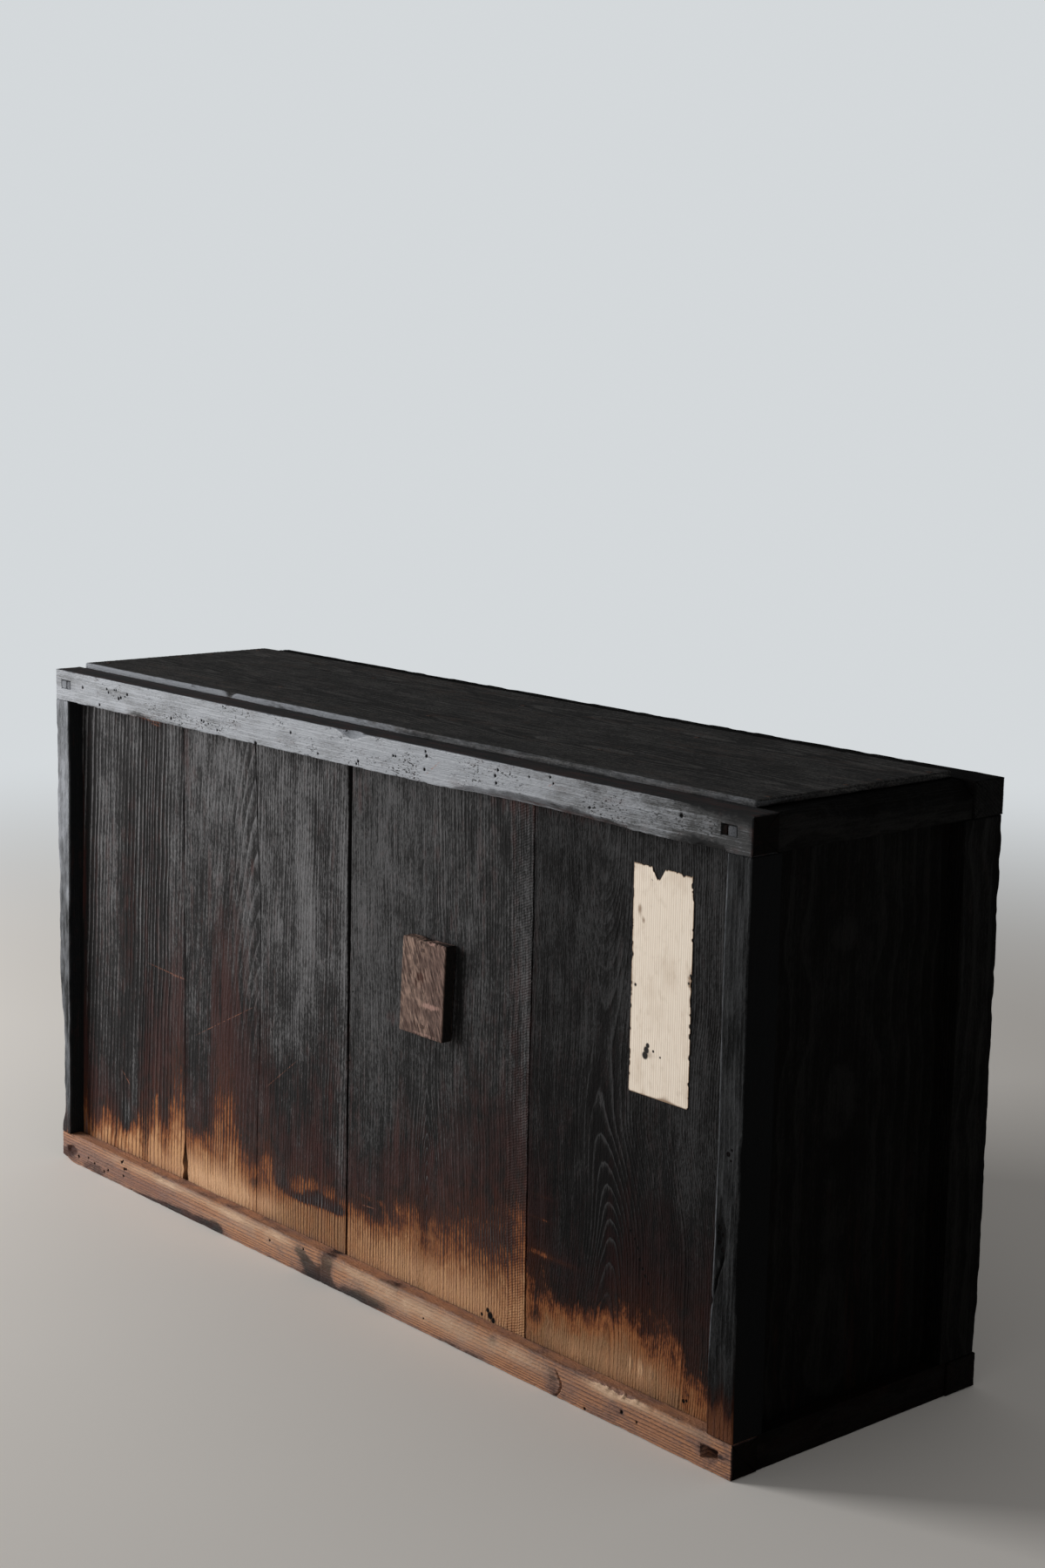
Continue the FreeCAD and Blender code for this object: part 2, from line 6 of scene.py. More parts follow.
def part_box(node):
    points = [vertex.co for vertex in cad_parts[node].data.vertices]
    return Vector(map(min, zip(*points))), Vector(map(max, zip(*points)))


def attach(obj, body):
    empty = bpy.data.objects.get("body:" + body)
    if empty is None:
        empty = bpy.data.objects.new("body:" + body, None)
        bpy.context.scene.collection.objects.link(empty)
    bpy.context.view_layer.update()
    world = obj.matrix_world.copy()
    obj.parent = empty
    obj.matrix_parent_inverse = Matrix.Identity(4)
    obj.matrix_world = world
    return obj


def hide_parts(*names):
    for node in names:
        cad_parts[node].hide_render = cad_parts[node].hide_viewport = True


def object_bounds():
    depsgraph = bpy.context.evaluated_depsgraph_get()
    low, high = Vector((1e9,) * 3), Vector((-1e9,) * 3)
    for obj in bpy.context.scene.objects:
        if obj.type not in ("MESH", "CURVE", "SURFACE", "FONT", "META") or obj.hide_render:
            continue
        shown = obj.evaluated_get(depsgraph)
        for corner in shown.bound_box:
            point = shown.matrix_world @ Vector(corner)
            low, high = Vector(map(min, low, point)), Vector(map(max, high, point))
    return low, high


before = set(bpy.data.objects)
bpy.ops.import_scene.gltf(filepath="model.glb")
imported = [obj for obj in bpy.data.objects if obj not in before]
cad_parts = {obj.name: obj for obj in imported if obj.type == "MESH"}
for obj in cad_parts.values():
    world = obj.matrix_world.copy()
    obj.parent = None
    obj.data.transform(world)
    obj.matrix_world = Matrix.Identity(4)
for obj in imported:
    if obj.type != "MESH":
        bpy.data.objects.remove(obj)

# Smoke-blackened storage chest of joined cedar with a lift-out door board.
# Places on the chest are in millimetres: x from its left end, y from its front, z from the floor.
# The mesh builder and the marks drawn by the shaders turn them into the frame's metres.

mm = 0.001
cad_low, cad_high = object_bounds()
length, depth = ((cad_high[k] - cad_low[k]) / mm for k in (0, 1))
carcass = "carcass"
door = "door"


def extent(node):
    """The lowest and highest corner of a node in the chest's millimetres."""
    return [[(corner[k] - cad_low[k]) / mm for k in range(3)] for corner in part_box(node)]


rail_low, rail_high = extent("front_top_rail")
sill_low, sill_high = extent("front_sill")
board_low, board_high = extent("front_board_1")
post_foot = sill_high[2]
post_top = rail_low[2]
rail_depth = rail_high[1]
back_rail_front = extent("back_top_rail")[0][1]
board_face = board_low[1]
board_back = board_high[1]

# Soft random patterns

hash_across = 374761393
hash_along = 668265263
hash_seed = 974634777
hash_mix = 1274126177
whole_word = 0xFFFFFFFF


def cell_value(i, j, seed):
    """A fixed value from -1 to 1 for each cell, by multiplying and folding its two whole numbers."""
    word = i.astype(np.int64) * hash_across + j.astype(np.int64) * hash_along + seed * hash_seed
    word = word & whole_word
    word = ((word ^ (word >> 13)) * hash_mix) & whole_word
    word = word ^ (word >> 16)
    return word / whole_word * 2 - 1


def soft(u, v, seed):
    """Soft noise: the values of the four cells round a point, blended by 3t squared less 2t cubed."""
    u, v = np.broadcast_arrays(np.asarray(u, float), np.asarray(v, float))
    i, j = np.floor(u), np.floor(v)
    s, t = u - i, v - j
    s, t = s * s * (3 - 2 * s), t * t * (3 - 2 * t)
    near = cell_value(i, j, seed) * (1 - s) + cell_value(i + 1, j, seed) * s
    far = cell_value(i, j + 1, seed) * (1 - s) + cell_value(i + 1, j + 1, seed) * s
    return near * (1 - t) + far * t


def layered(u, v, seed, layers=3):
    """Soft noise summed in layers, each twice as fine and half as strong as the one before."""
    return sum(soft(u * 2**k, v * 2**k, seed + k) / 2**k for k in range(layers))


def ease(low, high, value):
    """0 below low, 1 above high, and 3t squared less 2t cubed between them."""
    t = np.clip((value - low) / (high - low), 0, 1)
    return t * t * (3 - 2 * t)


def patches(x, z, places):
    """The sum of soft round patches, each given as x, z, half width, half height and strength."""
    total = np.zeros(np.broadcast(x, z).shape)
    for px, pz, half_width, half_height, strength in places:
        total += strength * np.exp(-(((x - px) / half_width) ** 2) - ((z - pz) / half_height) ** 2)
    return total


def bump(value, middle, reach):
    """A soft hump of height 1 round a middle."""
    return np.exp(-(((value - middle) / reach) ** 2))


def dimples(x, z, places):
    """Small round hollows, each given as x, z and a radius: 1 in their middles."""
    return patches(x, z, [(px, pz, 0.7 * size, 0.7 * size, 1.0) for px, pz, size in places])


def along_line(value, points):
    """A value read from a line drawn through points, rounded a little at each of them."""
    at, read = np.array(points, float).T
    step = (at[-1] - at[0]) / (8 * len(at))
    return sum(np.interp(value + shift * step, at, read) for shift in (-1, 0, 1)) / 3


# Timber as grids of points

def section(corners, spacing, radius):
    """A closed outline: points at a spacing along each side, and each corner rounded.

    A corner is a curve from one side to the next, a radius away from it, that is pulled towards it: the
    quadratic curve with the corner as its middle control point. Returns the points and, for each, the
    direction outwards.
    """
    corners = np.array(corners, float)
    count = len(corners)
    points, outward = [], []
    for k in range(count):
        before, corner, after = corners[k - 1], corners[k], corners[(k + 1) % count]
        came = (corner - before) / np.linalg.norm(corner - before)
        goes = (after - corner) / np.linalg.norm(after - corner)
        enter, leave = corner - came * radius, corner + goes * radius
        sides = [np.array([came[1], -came[0]]), np.array([goes[1], -goes[0]])]
        points += [enter, (enter + leave) / 4 + corner / 2, leave]
        outward += [sides[0], (sides[0] + sides[1]) / np.linalg.norm(sides[0] + sides[1]), sides[1]]
        run = np.linalg.norm(after - corner) - 2 * radius
        steps = max(1, round(run / spacing[k]))
        for step in range(1, steps):
            points.append(leave + goes * run * step / steps)
            outward.append(sides[1])
    return np.array(points), np.array(outward)


def rows(start, end, step, finer=(), corner=1.2):
    """Places along a piece at a step, closer around the given places, and one just inside each end."""
    count = max(2, round((end - start) / step))
    first, last = start + corner, end - corner
    places = [np.linspace(start, end, count + 1), [first, last]]
    for middle, reach, fine_step in finer:
        places.append(np.arange(max(middle - reach, first), min(middle + reach, last), fine_step))
    return np.unique(np.concatenate(places).round(2))


class Stick:
    """A length of timber: rows of points along its axis, columns of points round its section.

    x, y and z are the points' places and out is their outward direction across the section. marks holds
    what the finish reads at each point.
    """

    def __init__(self, axis, corners, spacing, places, radius=1.0, corner=1.2):
        points, outward = section(corners, spacing, radius)
        inset = np.zeros(len(places))
        inset[[0, -1]] = corner
        first = points[:, 0] - outward[:, 0] * inset[:, None]
        second = points[:, 1] - outward[:, 1] * inset[:, None]
        run = np.repeat(places[:, None], len(points), axis=1)
        out_first = np.repeat(outward[None, :, 0], len(places), axis=0)
        out_second = np.repeat(outward[None, :, 1], len(places), axis=0)
        none = np.zeros_like(run)
        order = {"x": (2, 0, 1), "y": (0, 2, 1), "z": (0, 1, 2)}[axis]
        self.x, self.y, self.z = ((first, second, run)[k].copy() for k in order)
        self.out = [(out_first, out_second, none)[k] for k in order]
        self.run, self.first, self.second = run, first, second
        self.marks = {}
        self.hub = None
        self.paired_ends = False

    def shave(self, amount):
        """Moves every point inward by an amount."""
        self.x -= self.out[0] * amount
        self.y -= self.out[1] * amount
        self.z -= self.out[2] * amount

    def pare(self, faces, size):
        """Cuts the arris between two faces to a flat that leaves each face at a distance of size.

        A point whose depths under the two faces add up to less than size moves inward by half of what
        is missing, from both faces.
        """
        values = {axis: getattr(self, axis) for axis in faces}
        inward = {axis: np.sign(values[axis].mean() - face) for axis, face in faces.items()}
        total = sum((values[axis] - face) * inward[axis] for axis, face in faces.items())
        missing = np.clip(size - total, 0, None) / 2
        for axis in faces:
            values[axis] += inward[axis] * missing
        return missing

    def recess(self, x_pair, z_pair, depth):
        """Sinks the front face inside a rectangle to a depth, as an open mortise."""
        across = (self.x > x_pair[0]) & (self.x < x_pair[1])
        upright = (self.z > z_pair[0]) & (self.z < z_pair[1])
        self.y[across & upright & (self.y < depth)] = depth

    def mesh_parts(self):
        """The points in metres, the squares round the section, and the two ends' faces.

        An end is a fan of triangles round its middle, or round the hub where the section needs one.
        Where the ends are paired, it is a strip between the front and the back of a thin sheet.
        """
        row_count, column_count = self.x.shape
        points = np.stack([self.x.ravel(), self.y.ravel(), self.z.ravel()], axis=1)
        index = np.arange(row_count * column_count).reshape(row_count, column_count)
        right = np.roll(index, -1, axis=1)
        squares = np.stack([index[:-1], right[:-1], right[1:], index[1:]], axis=-1).reshape(-1, 4)
        if self.paired_ends:
            half = np.arange(column_count // 2 - 1)
            far = column_count - 1 - half
            strips = [
                np.stack([row[half], row[half + 1], row[far - 1], row[far]], axis=-1)
                for row in index[[0, -1]]]
            ends = np.concatenate([strips[0][:, ::-1], strips[1]])
        else:
            middles = [points[index[row]].mean(axis=0) for row in (0, -1)]
            for middle in middles:
                if self.hub:
                    middle[:2] = self.hub
            hubs = np.full((2, column_count), len(points)) + np.array([[0], [1]])
            points = np.concatenate([points, middles])
            ends = np.concatenate([
                np.stack([right[0], index[0], hubs[0]], axis=-1),
                np.stack([index[-1], right[-1], hubs[1]], axis=-1)])
        points = points * mm + np.array(cad_low)
        a, b, c, d = (points[squares[:, k]] for k in range(4))
        volume = (np.cross(c - a, d - b) * (a + b + c + d)).sum()
        if volume < 0:
            squares = squares[:, ::-1]
            ends = ends[:, ::-1]
        return points, squares, ends

    def mark_values(self, mark):
        """A mark at every point of the mesh; an end's hub takes the mean of its row."""
        values = np.broadcast_to(self.marks.get(mark, 0.0), self.x.shape)
        if self.paired_ends:
            return values.ravel()
        return np.concatenate([values.ravel(), [values[0].mean(), values[-1].mean()]])


def timber(axis, low, high, spacing, step, finer=(), radius=1.0, corner=1.2):
    """A stick that fills the box between two corners."""
    first, second, run = {"x": (1, 2, 0), "y": (0, 2, 1), "z": (0, 1, 2)}[axis]
    corners = (
        (low[first], low[second]), (high[first], low[second]),
        (high[first], high[second]), (low[first], high[second]),
    )
    return Stick(axis, corners, spacing, rows(low[run], high[run], step, finer, corner), radius, corner)


def make(name, sticks, body, nodes, finish, end_finish=None):
    """One piece from one or more sticks: their grids side by side in one mesh.

    The marks become attributes of the points. Where there is an end finish, it goes on the end faces.
    """
    points, loops, totals, at_end = [], [], [], []
    offset = 0
    for stick in sticks:
        own, squares, ends = stick.mesh_parts()
        loops += [squares.ravel() + offset, ends.ravel() + offset]
        totals += [np.full(len(squares), 4), np.full(len(ends), ends.shape[1])]
        at_end += [np.zeros(len(squares), bool), np.ones(len(ends), bool)]
        points.append(own)
        offset += len(own)
    points, loops, totals = (np.concatenate(parts) for parts in (points, loops, totals))
    mesh = bpy.data.meshes.new(name)
    mesh.vertices.add(len(points))
    mesh.vertices.foreach_set("co", points.ravel())
    mesh.loops.add(len(loops))
    mesh.loops.foreach_set("vertex_index", loops.astype(np.int32))
    mesh.polygons.add(len(totals))
    mesh.polygons.foreach_set("loop_start", (np.cumsum(totals) - totals).astype(np.int32))
    mesh.polygons.foreach_set("use_smooth", ~np.concatenate(at_end))
    mesh.update(calc_edges=True)
    for mark in sorted({key for stick in sticks for key in stick.marks}):
        values = np.concatenate([stick.mark_values(mark) for stick in sticks])
        mesh.attributes.new(mark, "FLOAT", "POINT").data.foreach_set("value", values)
    piece = bpy.data.objects.new(name, mesh)
    bpy.context.scene.collection.objects.link(piece)
    mesh.materials.append(finish)
    if end_finish:
        mesh.materials.append(end_finish)
        mesh.polygons.foreach_set("material_index", np.concatenate(at_end).astype(np.int32))
    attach(piece, body)
    if nodes:
        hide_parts(*nodes)


def growth(along, across, through, ring_width, seed, sway=2.0, reach=90.0):
    """The number of growth rings between the heart of the tree and each point.

    across and through are the point's two distances from the heart line. The rings are its distance over
    the ring width, bent sideways by slow noise along the piece.
    """
    bend = sway * layered(along / reach, across / reach, seed, 2)
    radius = np.hypot(across + bend, through)
    return radius / ring_width + 0.7 * soft(radius / (ring_width * 3), 0, seed + 7)


ring_border = 0.15


def late_wood(rings):
    """How hard the wood is: it rises as t cubed over a ring and falls off sharply at the border."""
    t = rings - np.floor(rings)
    return np.minimum(t**3, (1 - t) / ring_border)


def weather(stick, rings, ridge, rough, seed):
    """Wears a piece: soft wood sinks by the ridge height, and all of it is a little uneven."""
    sunk = ridge * (1 - late_wood(rings))
    uneven = rough * (0.5 + 0.5 * layered(stick.run / 30, stick.first / 5 + stick.second / 5, seed))
    stick.shave(sunk + uneven)
    stick.marks["rings"] = rings


# Shader maths

class Value:
    """A number or colour that varies over the surface. Arithmetic on it adds Math nodes."""

    def __init__(self, finish, socket):
        self.finish = finish
        self.socket = socket

    def math(self, operation, *others):
        """The result of a Math node on this value and the others."""
        inputs = dict(enumerate([self, *others]))
        return self.finish.value("ShaderNodeMath", {"operation": operation}, inputs)

    def __add__(self, other):
        return self.math("ADD", other)

    def __sub__(self, other):
        return self.math("SUBTRACT", other)

    def __rsub__(self, other):
        return self.finish.value("ShaderNodeMath", {"operation": "SUBTRACT"}, {0: other, 1: self})

    def __mul__(self, other):
        return self.math("MULTIPLY", other)

    def __truediv__(self, other):
        return self.math("DIVIDE", other)

    def __pow__(self, other):
        return self.math("POWER", other)

    def __abs__(self):
        return self.math("ABSOLUTE")

    __radd__ = __add__
    __rmul__ = __mul__

    def least(self, other):
        """The smaller of two values."""
        return self.math("MINIMUM", other)

    def most(self, other):
        """The larger of two values."""
        return self.math("MAXIMUM", other)

    def ease(self, low, high):
        """0 at low and 1 at high, smoothly."""
        settings = {"interpolation_type": "SMOOTHSTEP", "clamp": True}
        inputs = {"Value": self, "From Min": low, "From Max": high}
        return self.finish.value("ShaderNodeMapRange", settings, inputs)


class Nodes:
    """A node tree under construction, with one method that adds any node."""

    def __init__(self, tree):
        self.tree = tree
        tree.nodes.clear()

    def add(self, kind, settings=None, inputs=None):
        """A node of a type, its settings first, then the values or links of its sockets."""
        node = self.tree.nodes.new(kind)
        for key, setting in (settings or {}).items():
            setattr(node, key, setting)
        for key, given in (inputs or {}).items():
            socket = node.inputs[key]
            if isinstance(given, Value):
                self.tree.links.new(given.socket, socket)
            elif isinstance(given, bpy.types.NodeSocket):
                self.tree.links.new(given, socket)
            elif isinstance(given, tuple) and len(given) == 3 and socket.type == "RGBA":
                socket.default_value = (*given, 1.0)
            else:
                socket.default_value = given
        return node


class Finish(Nodes):
    """A material under construction."""

    def __init__(self, name):
        self.material = bpy.data.materials.new(name)
        self.material.use_nodes = True
        super().__init__(self.material.node_tree)
        self.place = self.add("ShaderNodeTexCoord").outputs["Object"]

    def value(self, kind, settings=None, inputs=None, output=0):
        """An added node's output, ready for arithmetic."""
        return Value(self, self.add(kind, settings, inputs).outputs[output])

    def mark(self, name):
        """What the mesh says about a point under this name."""
        return self.value("ShaderNodeAttribute", {"attribute_name": name}, output="Fac")

    def axis(self, name):
        """The place along one axis of the frame, in metres."""
        return self.value("ShaderNodeSeparateXYZ", None, {"Vector": self.place}, name)

    def noise(self, size, detail=3.0, shift=(0.0, 0.0, 0.0)):
        """Noise whose grains have a size in millimetres along x, y and z, from 0 to 1."""
        scale = tuple(1 / (s * mm) for s in size)
        inputs = {"Vector": self.place, "Location": shift, "Scale": scale}
        mapped = self.add("ShaderNodeMapping", None, inputs).outputs["Vector"]
        inputs = {"Vector": mapped, "Scale": 1.0, "Detail": detail, "Roughness": 0.55}
        return self.value("ShaderNodeTexNoise", None, inputs)

    def blend(self, factor, first, second):
        """A mix of two colours: the first at 0 and below, the second at 1 and above."""
        settings = {"data_type": "RGBA", "blend_type": "MIX", "clamp_factor": True}
        return self.value("ShaderNodeMix", settings, {0: factor, 6: first, 7: second}, 2)

    def spots(self, places):
        """The largest of some small round marks on the front: 1 inside 0.6 of a mark's radius.

        Each is given as x, z and a radius in millimetres. The distance to its middle is the square root
        of the two squared offsets.
        """
        x, z = self.axis("X"), self.axis("Z")
        total = None
        for px, pz, radius in places:
            squares = (x - (cad_low[0] + px * mm)) ** 2.0 + (z - (cad_low[2] + pz * mm)) ** 2.0
            off = squares ** 0.5
            spot = 1 - off.ease(radius * mm * 0.6, radius * mm)
            total = spot if total is None else total.most(spot)
        return total

    def scratches(self, lines):
        """1 on thin straight scratches across the front, each given by its two ends and its width.

        The distance off a line is z less the line's height at x. A scratch fades in and out over a
        quarter of its length.
        """
        total = None
        x, z = self.axis("X"), self.axis("Z")
        for x_start, z_start, x_end, z_end, width in lines:
            start = cad_low[0] + x_start * mm
            end = cad_low[0] + x_end * mm
            slope = (z_end - z_start) / (x_end - x_start)
            off = abs(z - (x - start) * slope - (cad_low[2] + z_start * mm))
            fade = (end - start) * 0.25
            inside = x.ease(start, start + fade) * (1 - x.ease(end - fade, end))
            line = (1 - off.ease(width * mm * 0.3, width * mm)) * inside
            total = line if total is None else total.most(line)
        return total

    def late(self, rings):
        """The late wood of each ring, as the geometry has it."""
        t = rings.math("FRACT")
        return (t**3.0).least((1 - t) / ring_border)

    def surface(self, colour, roughness, height, fixed):
        """The finished surface: colour, roughness, a fine relief in millimetres, and fixed values."""
        relief = self.add("ShaderNodeBump", None, {"Height": height, "Distance": mm, "Strength": 1.0})
        inputs = {"Base Color": colour, "Roughness": roughness, "Normal": relief.outputs["Normal"]}
        shader = self.add("ShaderNodeBsdfPrincipled", None, {**inputs, **fixed})
        self.add("ShaderNodeOutputMaterial", None, {"Surface": shader.outputs["BSDF"]})
        return self.material


# Finishes

# Colours as red, green and blue in linear light, from the bare wood through the soot's edge to the char

bare_cedar = (0.47, 0.25, 0.12)
bare_rib = (0.14, 0.06, 0.026)
pale_cedar = (0.62, 0.37, 0.21)
amber = (0.3, 0.115, 0.042)
burnt_amber = (0.115, 0.038, 0.016)
rust = (0.19, 0.058, 0.022)
red_char = (0.06, 0.019, 0.011)
black_char = (0.02, 0.0135, 0.0125)
soot_fringe = (amber, burnt_amber, rust)
mauve_fringe = ((0.25, 0.135, 0.095), (0.12, 0.062, 0.047), (0.11, 0.055, 0.04))
post_fringe = ((0.1, 0.037, 0.017), (0.05, 0.018, 0.01), (0.06, 0.019, 0.01))
# A silvery grey for polished wood, which also paints the sheen of the window light
silver_sheen = (0.25, 0.262, 0.285)
red_streak = (0.17, 0.09, 0.075)
fresh_score = (0.25, 0.1, 0.06)
# Near black painted as shade in the pits
pit_shade_black = (0.004, 0.003, 0.003)


def grain(axis, across, along):
    """A grain size in millimetres that is long along one axis."""
    return tuple(along if name == axis else across for name in "xyz")


def shade(colour, amount):
    """A colour times an amount."""
    return tuple(amount * part for part in colour)


def smoked_wood(
        name, axis, dark, light, red=(0.04, 0.0145, 0.0125), bare=(bare_cedar, bare_rib),
        fringe=soot_fringe, contrast=1.0, ribs=1.0, rough=0.68, gloss=0.2, relief=1.0, flecks=0.0,
        polish_and_sheen=silver_sheen, char_depth=1.0, pits=(), scores=(), ladder=None):
    """Cedar blackened by smoke, with bare wood where the soot mark is below zero.

    Grit, fibres and rings mark every colour. From the bare wood up, the edge of the soot passes through
    the fringe colours and char. haze lightens the soot, in part as a painted sheen of the window light;
    stain reddens it, rib strengthens the rings, worn shows the polished colour, which on some pieces is
    also a painted sheen and highlight, and small pits and scores are cut in, the pits painted near black
    as shade. Each noise is read about its middle, so that it lightens as much as it darkens. ladder is
    the start, the end and the pitch of faint marks across the wood.
    """
    f = Finish(name)
    # Noises by the size of their grains across and along the wood, in millimetres
    fibre = f.noise(grain(axis, 1.8, 13), 4) - 0.5
    thread = f.noise(grain(axis, 3.6, 90), 3, (3.1, 1.7, 0.4)) - 0.5
    streak = f.noise(grain(axis, 9, 150), 3, (0.7, 2.3, 5.1)) - 0.5
    cloud = f.noise(grain(axis, 40, 75), 3, (4.3, 0.9, 2.2)) - 0.5
    smudge = f.noise(grain(axis, 18, 24), 4, (2.6, 3.1, 1.2)) - 0.5
    grit = f.noise(grain(axis, 2.2, 4.6), 4, (1.3, 5.2, 0.6)) - 0.5
    late = f.late(f.mark("rings") + thread * 0.3)
    # reach is how deep in the soot a point is, haze how far its soot goes from dark to light, the light
    # end in part a painted sheen
    rib = f.mark("rib")
    stain = f.mark("stain")
    reach = f.mark("soot") + contrast * (
        streak * 0.4 + thread * 0.3 + fibre * 0.5 + smudge * 1.5 + cloud * 0.8 + grit * 0.4
        + (late - 0.15) * (rib * 0.8 + 0.3) - 0.05)
    wood = f.blend(late * (rib * 1.5 + 1.6) + fibre * 1.2 + grit * 1.0 - 0.08, bare[0], bare[1])
    wood = f.blend(cloud * 2.2 + smudge * 1.5 + 0.12, wood, fringe[0])
    wood = f.blend(stain * 0.7 + thread, wood, red_streak)
    haze = f.mark("haze") + 0.3 + contrast * (
        (late - 0.3) * (rib + ribs) + grit * 2.1 + fibre * 1.7 + thread * 1.2 + streak * 1.1
        + cloud * 1.5 + smudge * 0.6)
    soot = f.blend(haze, dark, light)
    roughness = rough + grit * 0.3 + fibre * 0.2 + (0.4 - haze).most(0.0) * 0.3
    if flecks:
        slits = f.noise(grain(axis, 2.0, 4.5), 2, (1.9, 4.4, 3.3)).ease(0.58, 0.64)
        slits = slits * (cloud * 5.0 + smudge * 3.0 + f.mark("fleck") + flecks).most(0.0)
        soot = f.blend(slits, soot, dark)
        roughness = roughness + slits * 0.3
    redness = (1 - reach.ease(0.4, 3.8)) * 0.75
    redness = stain * (streak * 2.5 + 0.6) + redness + streak * 1.2 + smudge * 1.8 - 0.18
    soot = f.blend(redness, soot, red)
    char = shade(black_char, char_depth)
    ember = shade(red_char, char_depth)
    charred = f.blend(smudge * 3.0 + streak * 1.5 + stain * 0.5 + 0.3, char, ember)
    burnt = f.blend(late * (rib + 1.3) + fibre + grit + 0.05, fringe[0], fringe[1])
    colour = f.blend(reach.ease(-1.0, -0.2), wood, burnt)
    glowed = f.blend(late * (rib + 1.0) + grit * 2.0 + 0.1, fringe[2], ember)
    colour = f.blend(reach.ease(-0.45, 0.1), colour, glowed)
    colour = f.blend(reach.ease(-0.2, 0.35), colour, charred)
    colour = f.blend(reach.ease(0.3, 1.4), colour, soot)
    # Rubbed wood takes the polished colour; on the posts, tenons, wedges, top planks and sill it is also
    # painted sheen and highlights
    worn = f.mark("worn")
    colour = f.blend(worn * (1.0 + cloud * 2.0 + fibre * 1.5 + smudge * 1.5), colour, polish_and_sheen)
    if scores:
        colour = f.blend(f.scratches(scores) * (grit * 4.0 + fibre * 2.0 + 0.4), colour, fresh_score)
    height = (late * 0.5 + fibre * 0.7 + thread * 0.8 + grit * 1.5) * relief
    if ladder is not None:
        start, end, pitch = ladder
        across = f.axis("X").ease(cad_low[0] + start * mm, cad_low[0] + end * mm)
        climb = f.axis("Z") - f.axis("X") * 0.4
        beat = (climb * (2 * np.pi / (pitch * mm)) + streak * 9.0).math("SINE") * (smudge * 2.0 + 0.6)
        height = height + beat * across * 0.45
    if pits:
        # Pits are sunk in the relief and painted near black as shade in the holes
        holes = f.spots(pits)
        colour = f.blend(holes, colour, pit_shade_black)
        height = height - holes * 1.5
        roughness = roughness + holes * 0.5
    return f.surface(colour, roughness, height, {"Specular IOR Level": gloss})


# Small damage on the front. A pit is x, z and a radius; a score is the x and z of its two ends and a
# width; a gouge, like every patch below, is x, z, half width, half height and a depth or strength.

rail_pits = (
    (79, 779, 2.4), (150, 785, 1.8), (154, 780, 2.0), (171, 786, 1.7), (176, 786, 1.7), (183, 774, 2.8),
    (189, 776, 2.4), (207, 783, 2.4), (201, 779, 1.3), (128, 758, 2.2), (327, 762, 2.2),
    (407, 769, 2.0), (413, 768, 1.6), (447, 760, 1.8), (462, 796, 1.4), (543, 753, 4.0),
    (628, 780, 2.0), (691, 759, 1.8), (750, 798, 1.6), (782, 761, 2.2), (778, 757, 1.8),
    (858, 779, 2.0), (863, 779, 1.8), (924, 770, 2.4), (928, 788, 2.6), (926, 794, 1.8),
    (1066, 782, 2.4), (1068, 773, 2.2), (1071, 790, 2.0), (1170, 795, 1.8), (1176, 788, 1.6),
    (1400, 783, 3.2), (1131, 790, 1.6), (1243, 768, 1.6),
)
rail_scores = ((926, 763, 958, 786, 1.6), (1166, 783, 1180, 790, 1.2), (200, 764, 201.5, 782, 1.6))
sill_pits = (
    (49, 15, 3.0), (78, 20, 2.0), (97, 16, 2.2), (125, 10, 2.4), (137, 15, 2.4), (177, 39, 2.6),
    (180, 41, 2.4), (185, 30, 2.8), (190, 31, 2.6), (182, 18, 2.4), (205, 1, 2.0), (577, 27, 2.2),
    (660, 38, 2.0), (934, 20, 1.6), (1352, 18, 2.0), (1258, 3, 2.4), (1325, 22, 3.0),
)
post_pits = (
    (1494, 398, 3.6), (1499, 404, 2.0), (1498, 391, 1.8), (1484, 306, 4.0), (1488, 297, 3.4),
    (1482, 287, 3.0), (1489, 280, 3.6), (1481, 299, 2.4),
)
board_pits = (
    (1045, 53, 6.4), (1051, 48, 5.0), (1040, 59, 4.0), (1028, 50, 3.0), (955, 44, 2.0), (742, 430, 1.6),
    (735, 330, 1.8), (112, 42, 3.0), (146, 42, 2.6),
)
far_board_pits = (
    (1408, 58, 3.2), (1413, 60, 2.4), (1308, 246, 2.2), (1316, 238, 2.0), (1322, 228, 2.4),
    (1326, 214, 2.6), (1331, 204, 2.4), (1336, 196, 2.6), (1342, 188, 2.2),
)
far_board_gouges = ((1317, 74, 2.4, 9, 1.0), (1334, 73, 2.4, 10, 1.2), (1353, 72, 2.4, 9, 1.0))
board_scores = (
    (196, 747, 266, 744, 2.6), (232, 741, 262, 739, 1.8), (212, 366, 334, 360, 1.4),
    (284, 362, 322, 361, 2.2), (343, 276, 514, 362, 0.9), (529, 239, 618, 306, 0.8),
    (141, 178, 168, 156, 1.6), (760, 128, 800, 131, 1.2),
)


paper_pale, paper_line, paper_pulp = (1.0, 0.9, 0.77), (0.8, 0.67, 0.54), (0.62, 0.5, 0.38)
foxing, paper_soil, paper_hole = (0.6, 0.47, 0.35), (0.3, 0.2, 0.13), (0.015, 0.012, 0.01)
worm_holes = (
    (1326, 474, 6.2), (1328, 481, 5.6), (1330, 487, 4.0), (1340, 482, 2.2), (1352, 477, 1.8),
    (1306, 558, 2.4), (1400, 588, 2.4), (1397, 578, 2.0), (1317, 728, 1.8), (1360, 716, 1.6),
)


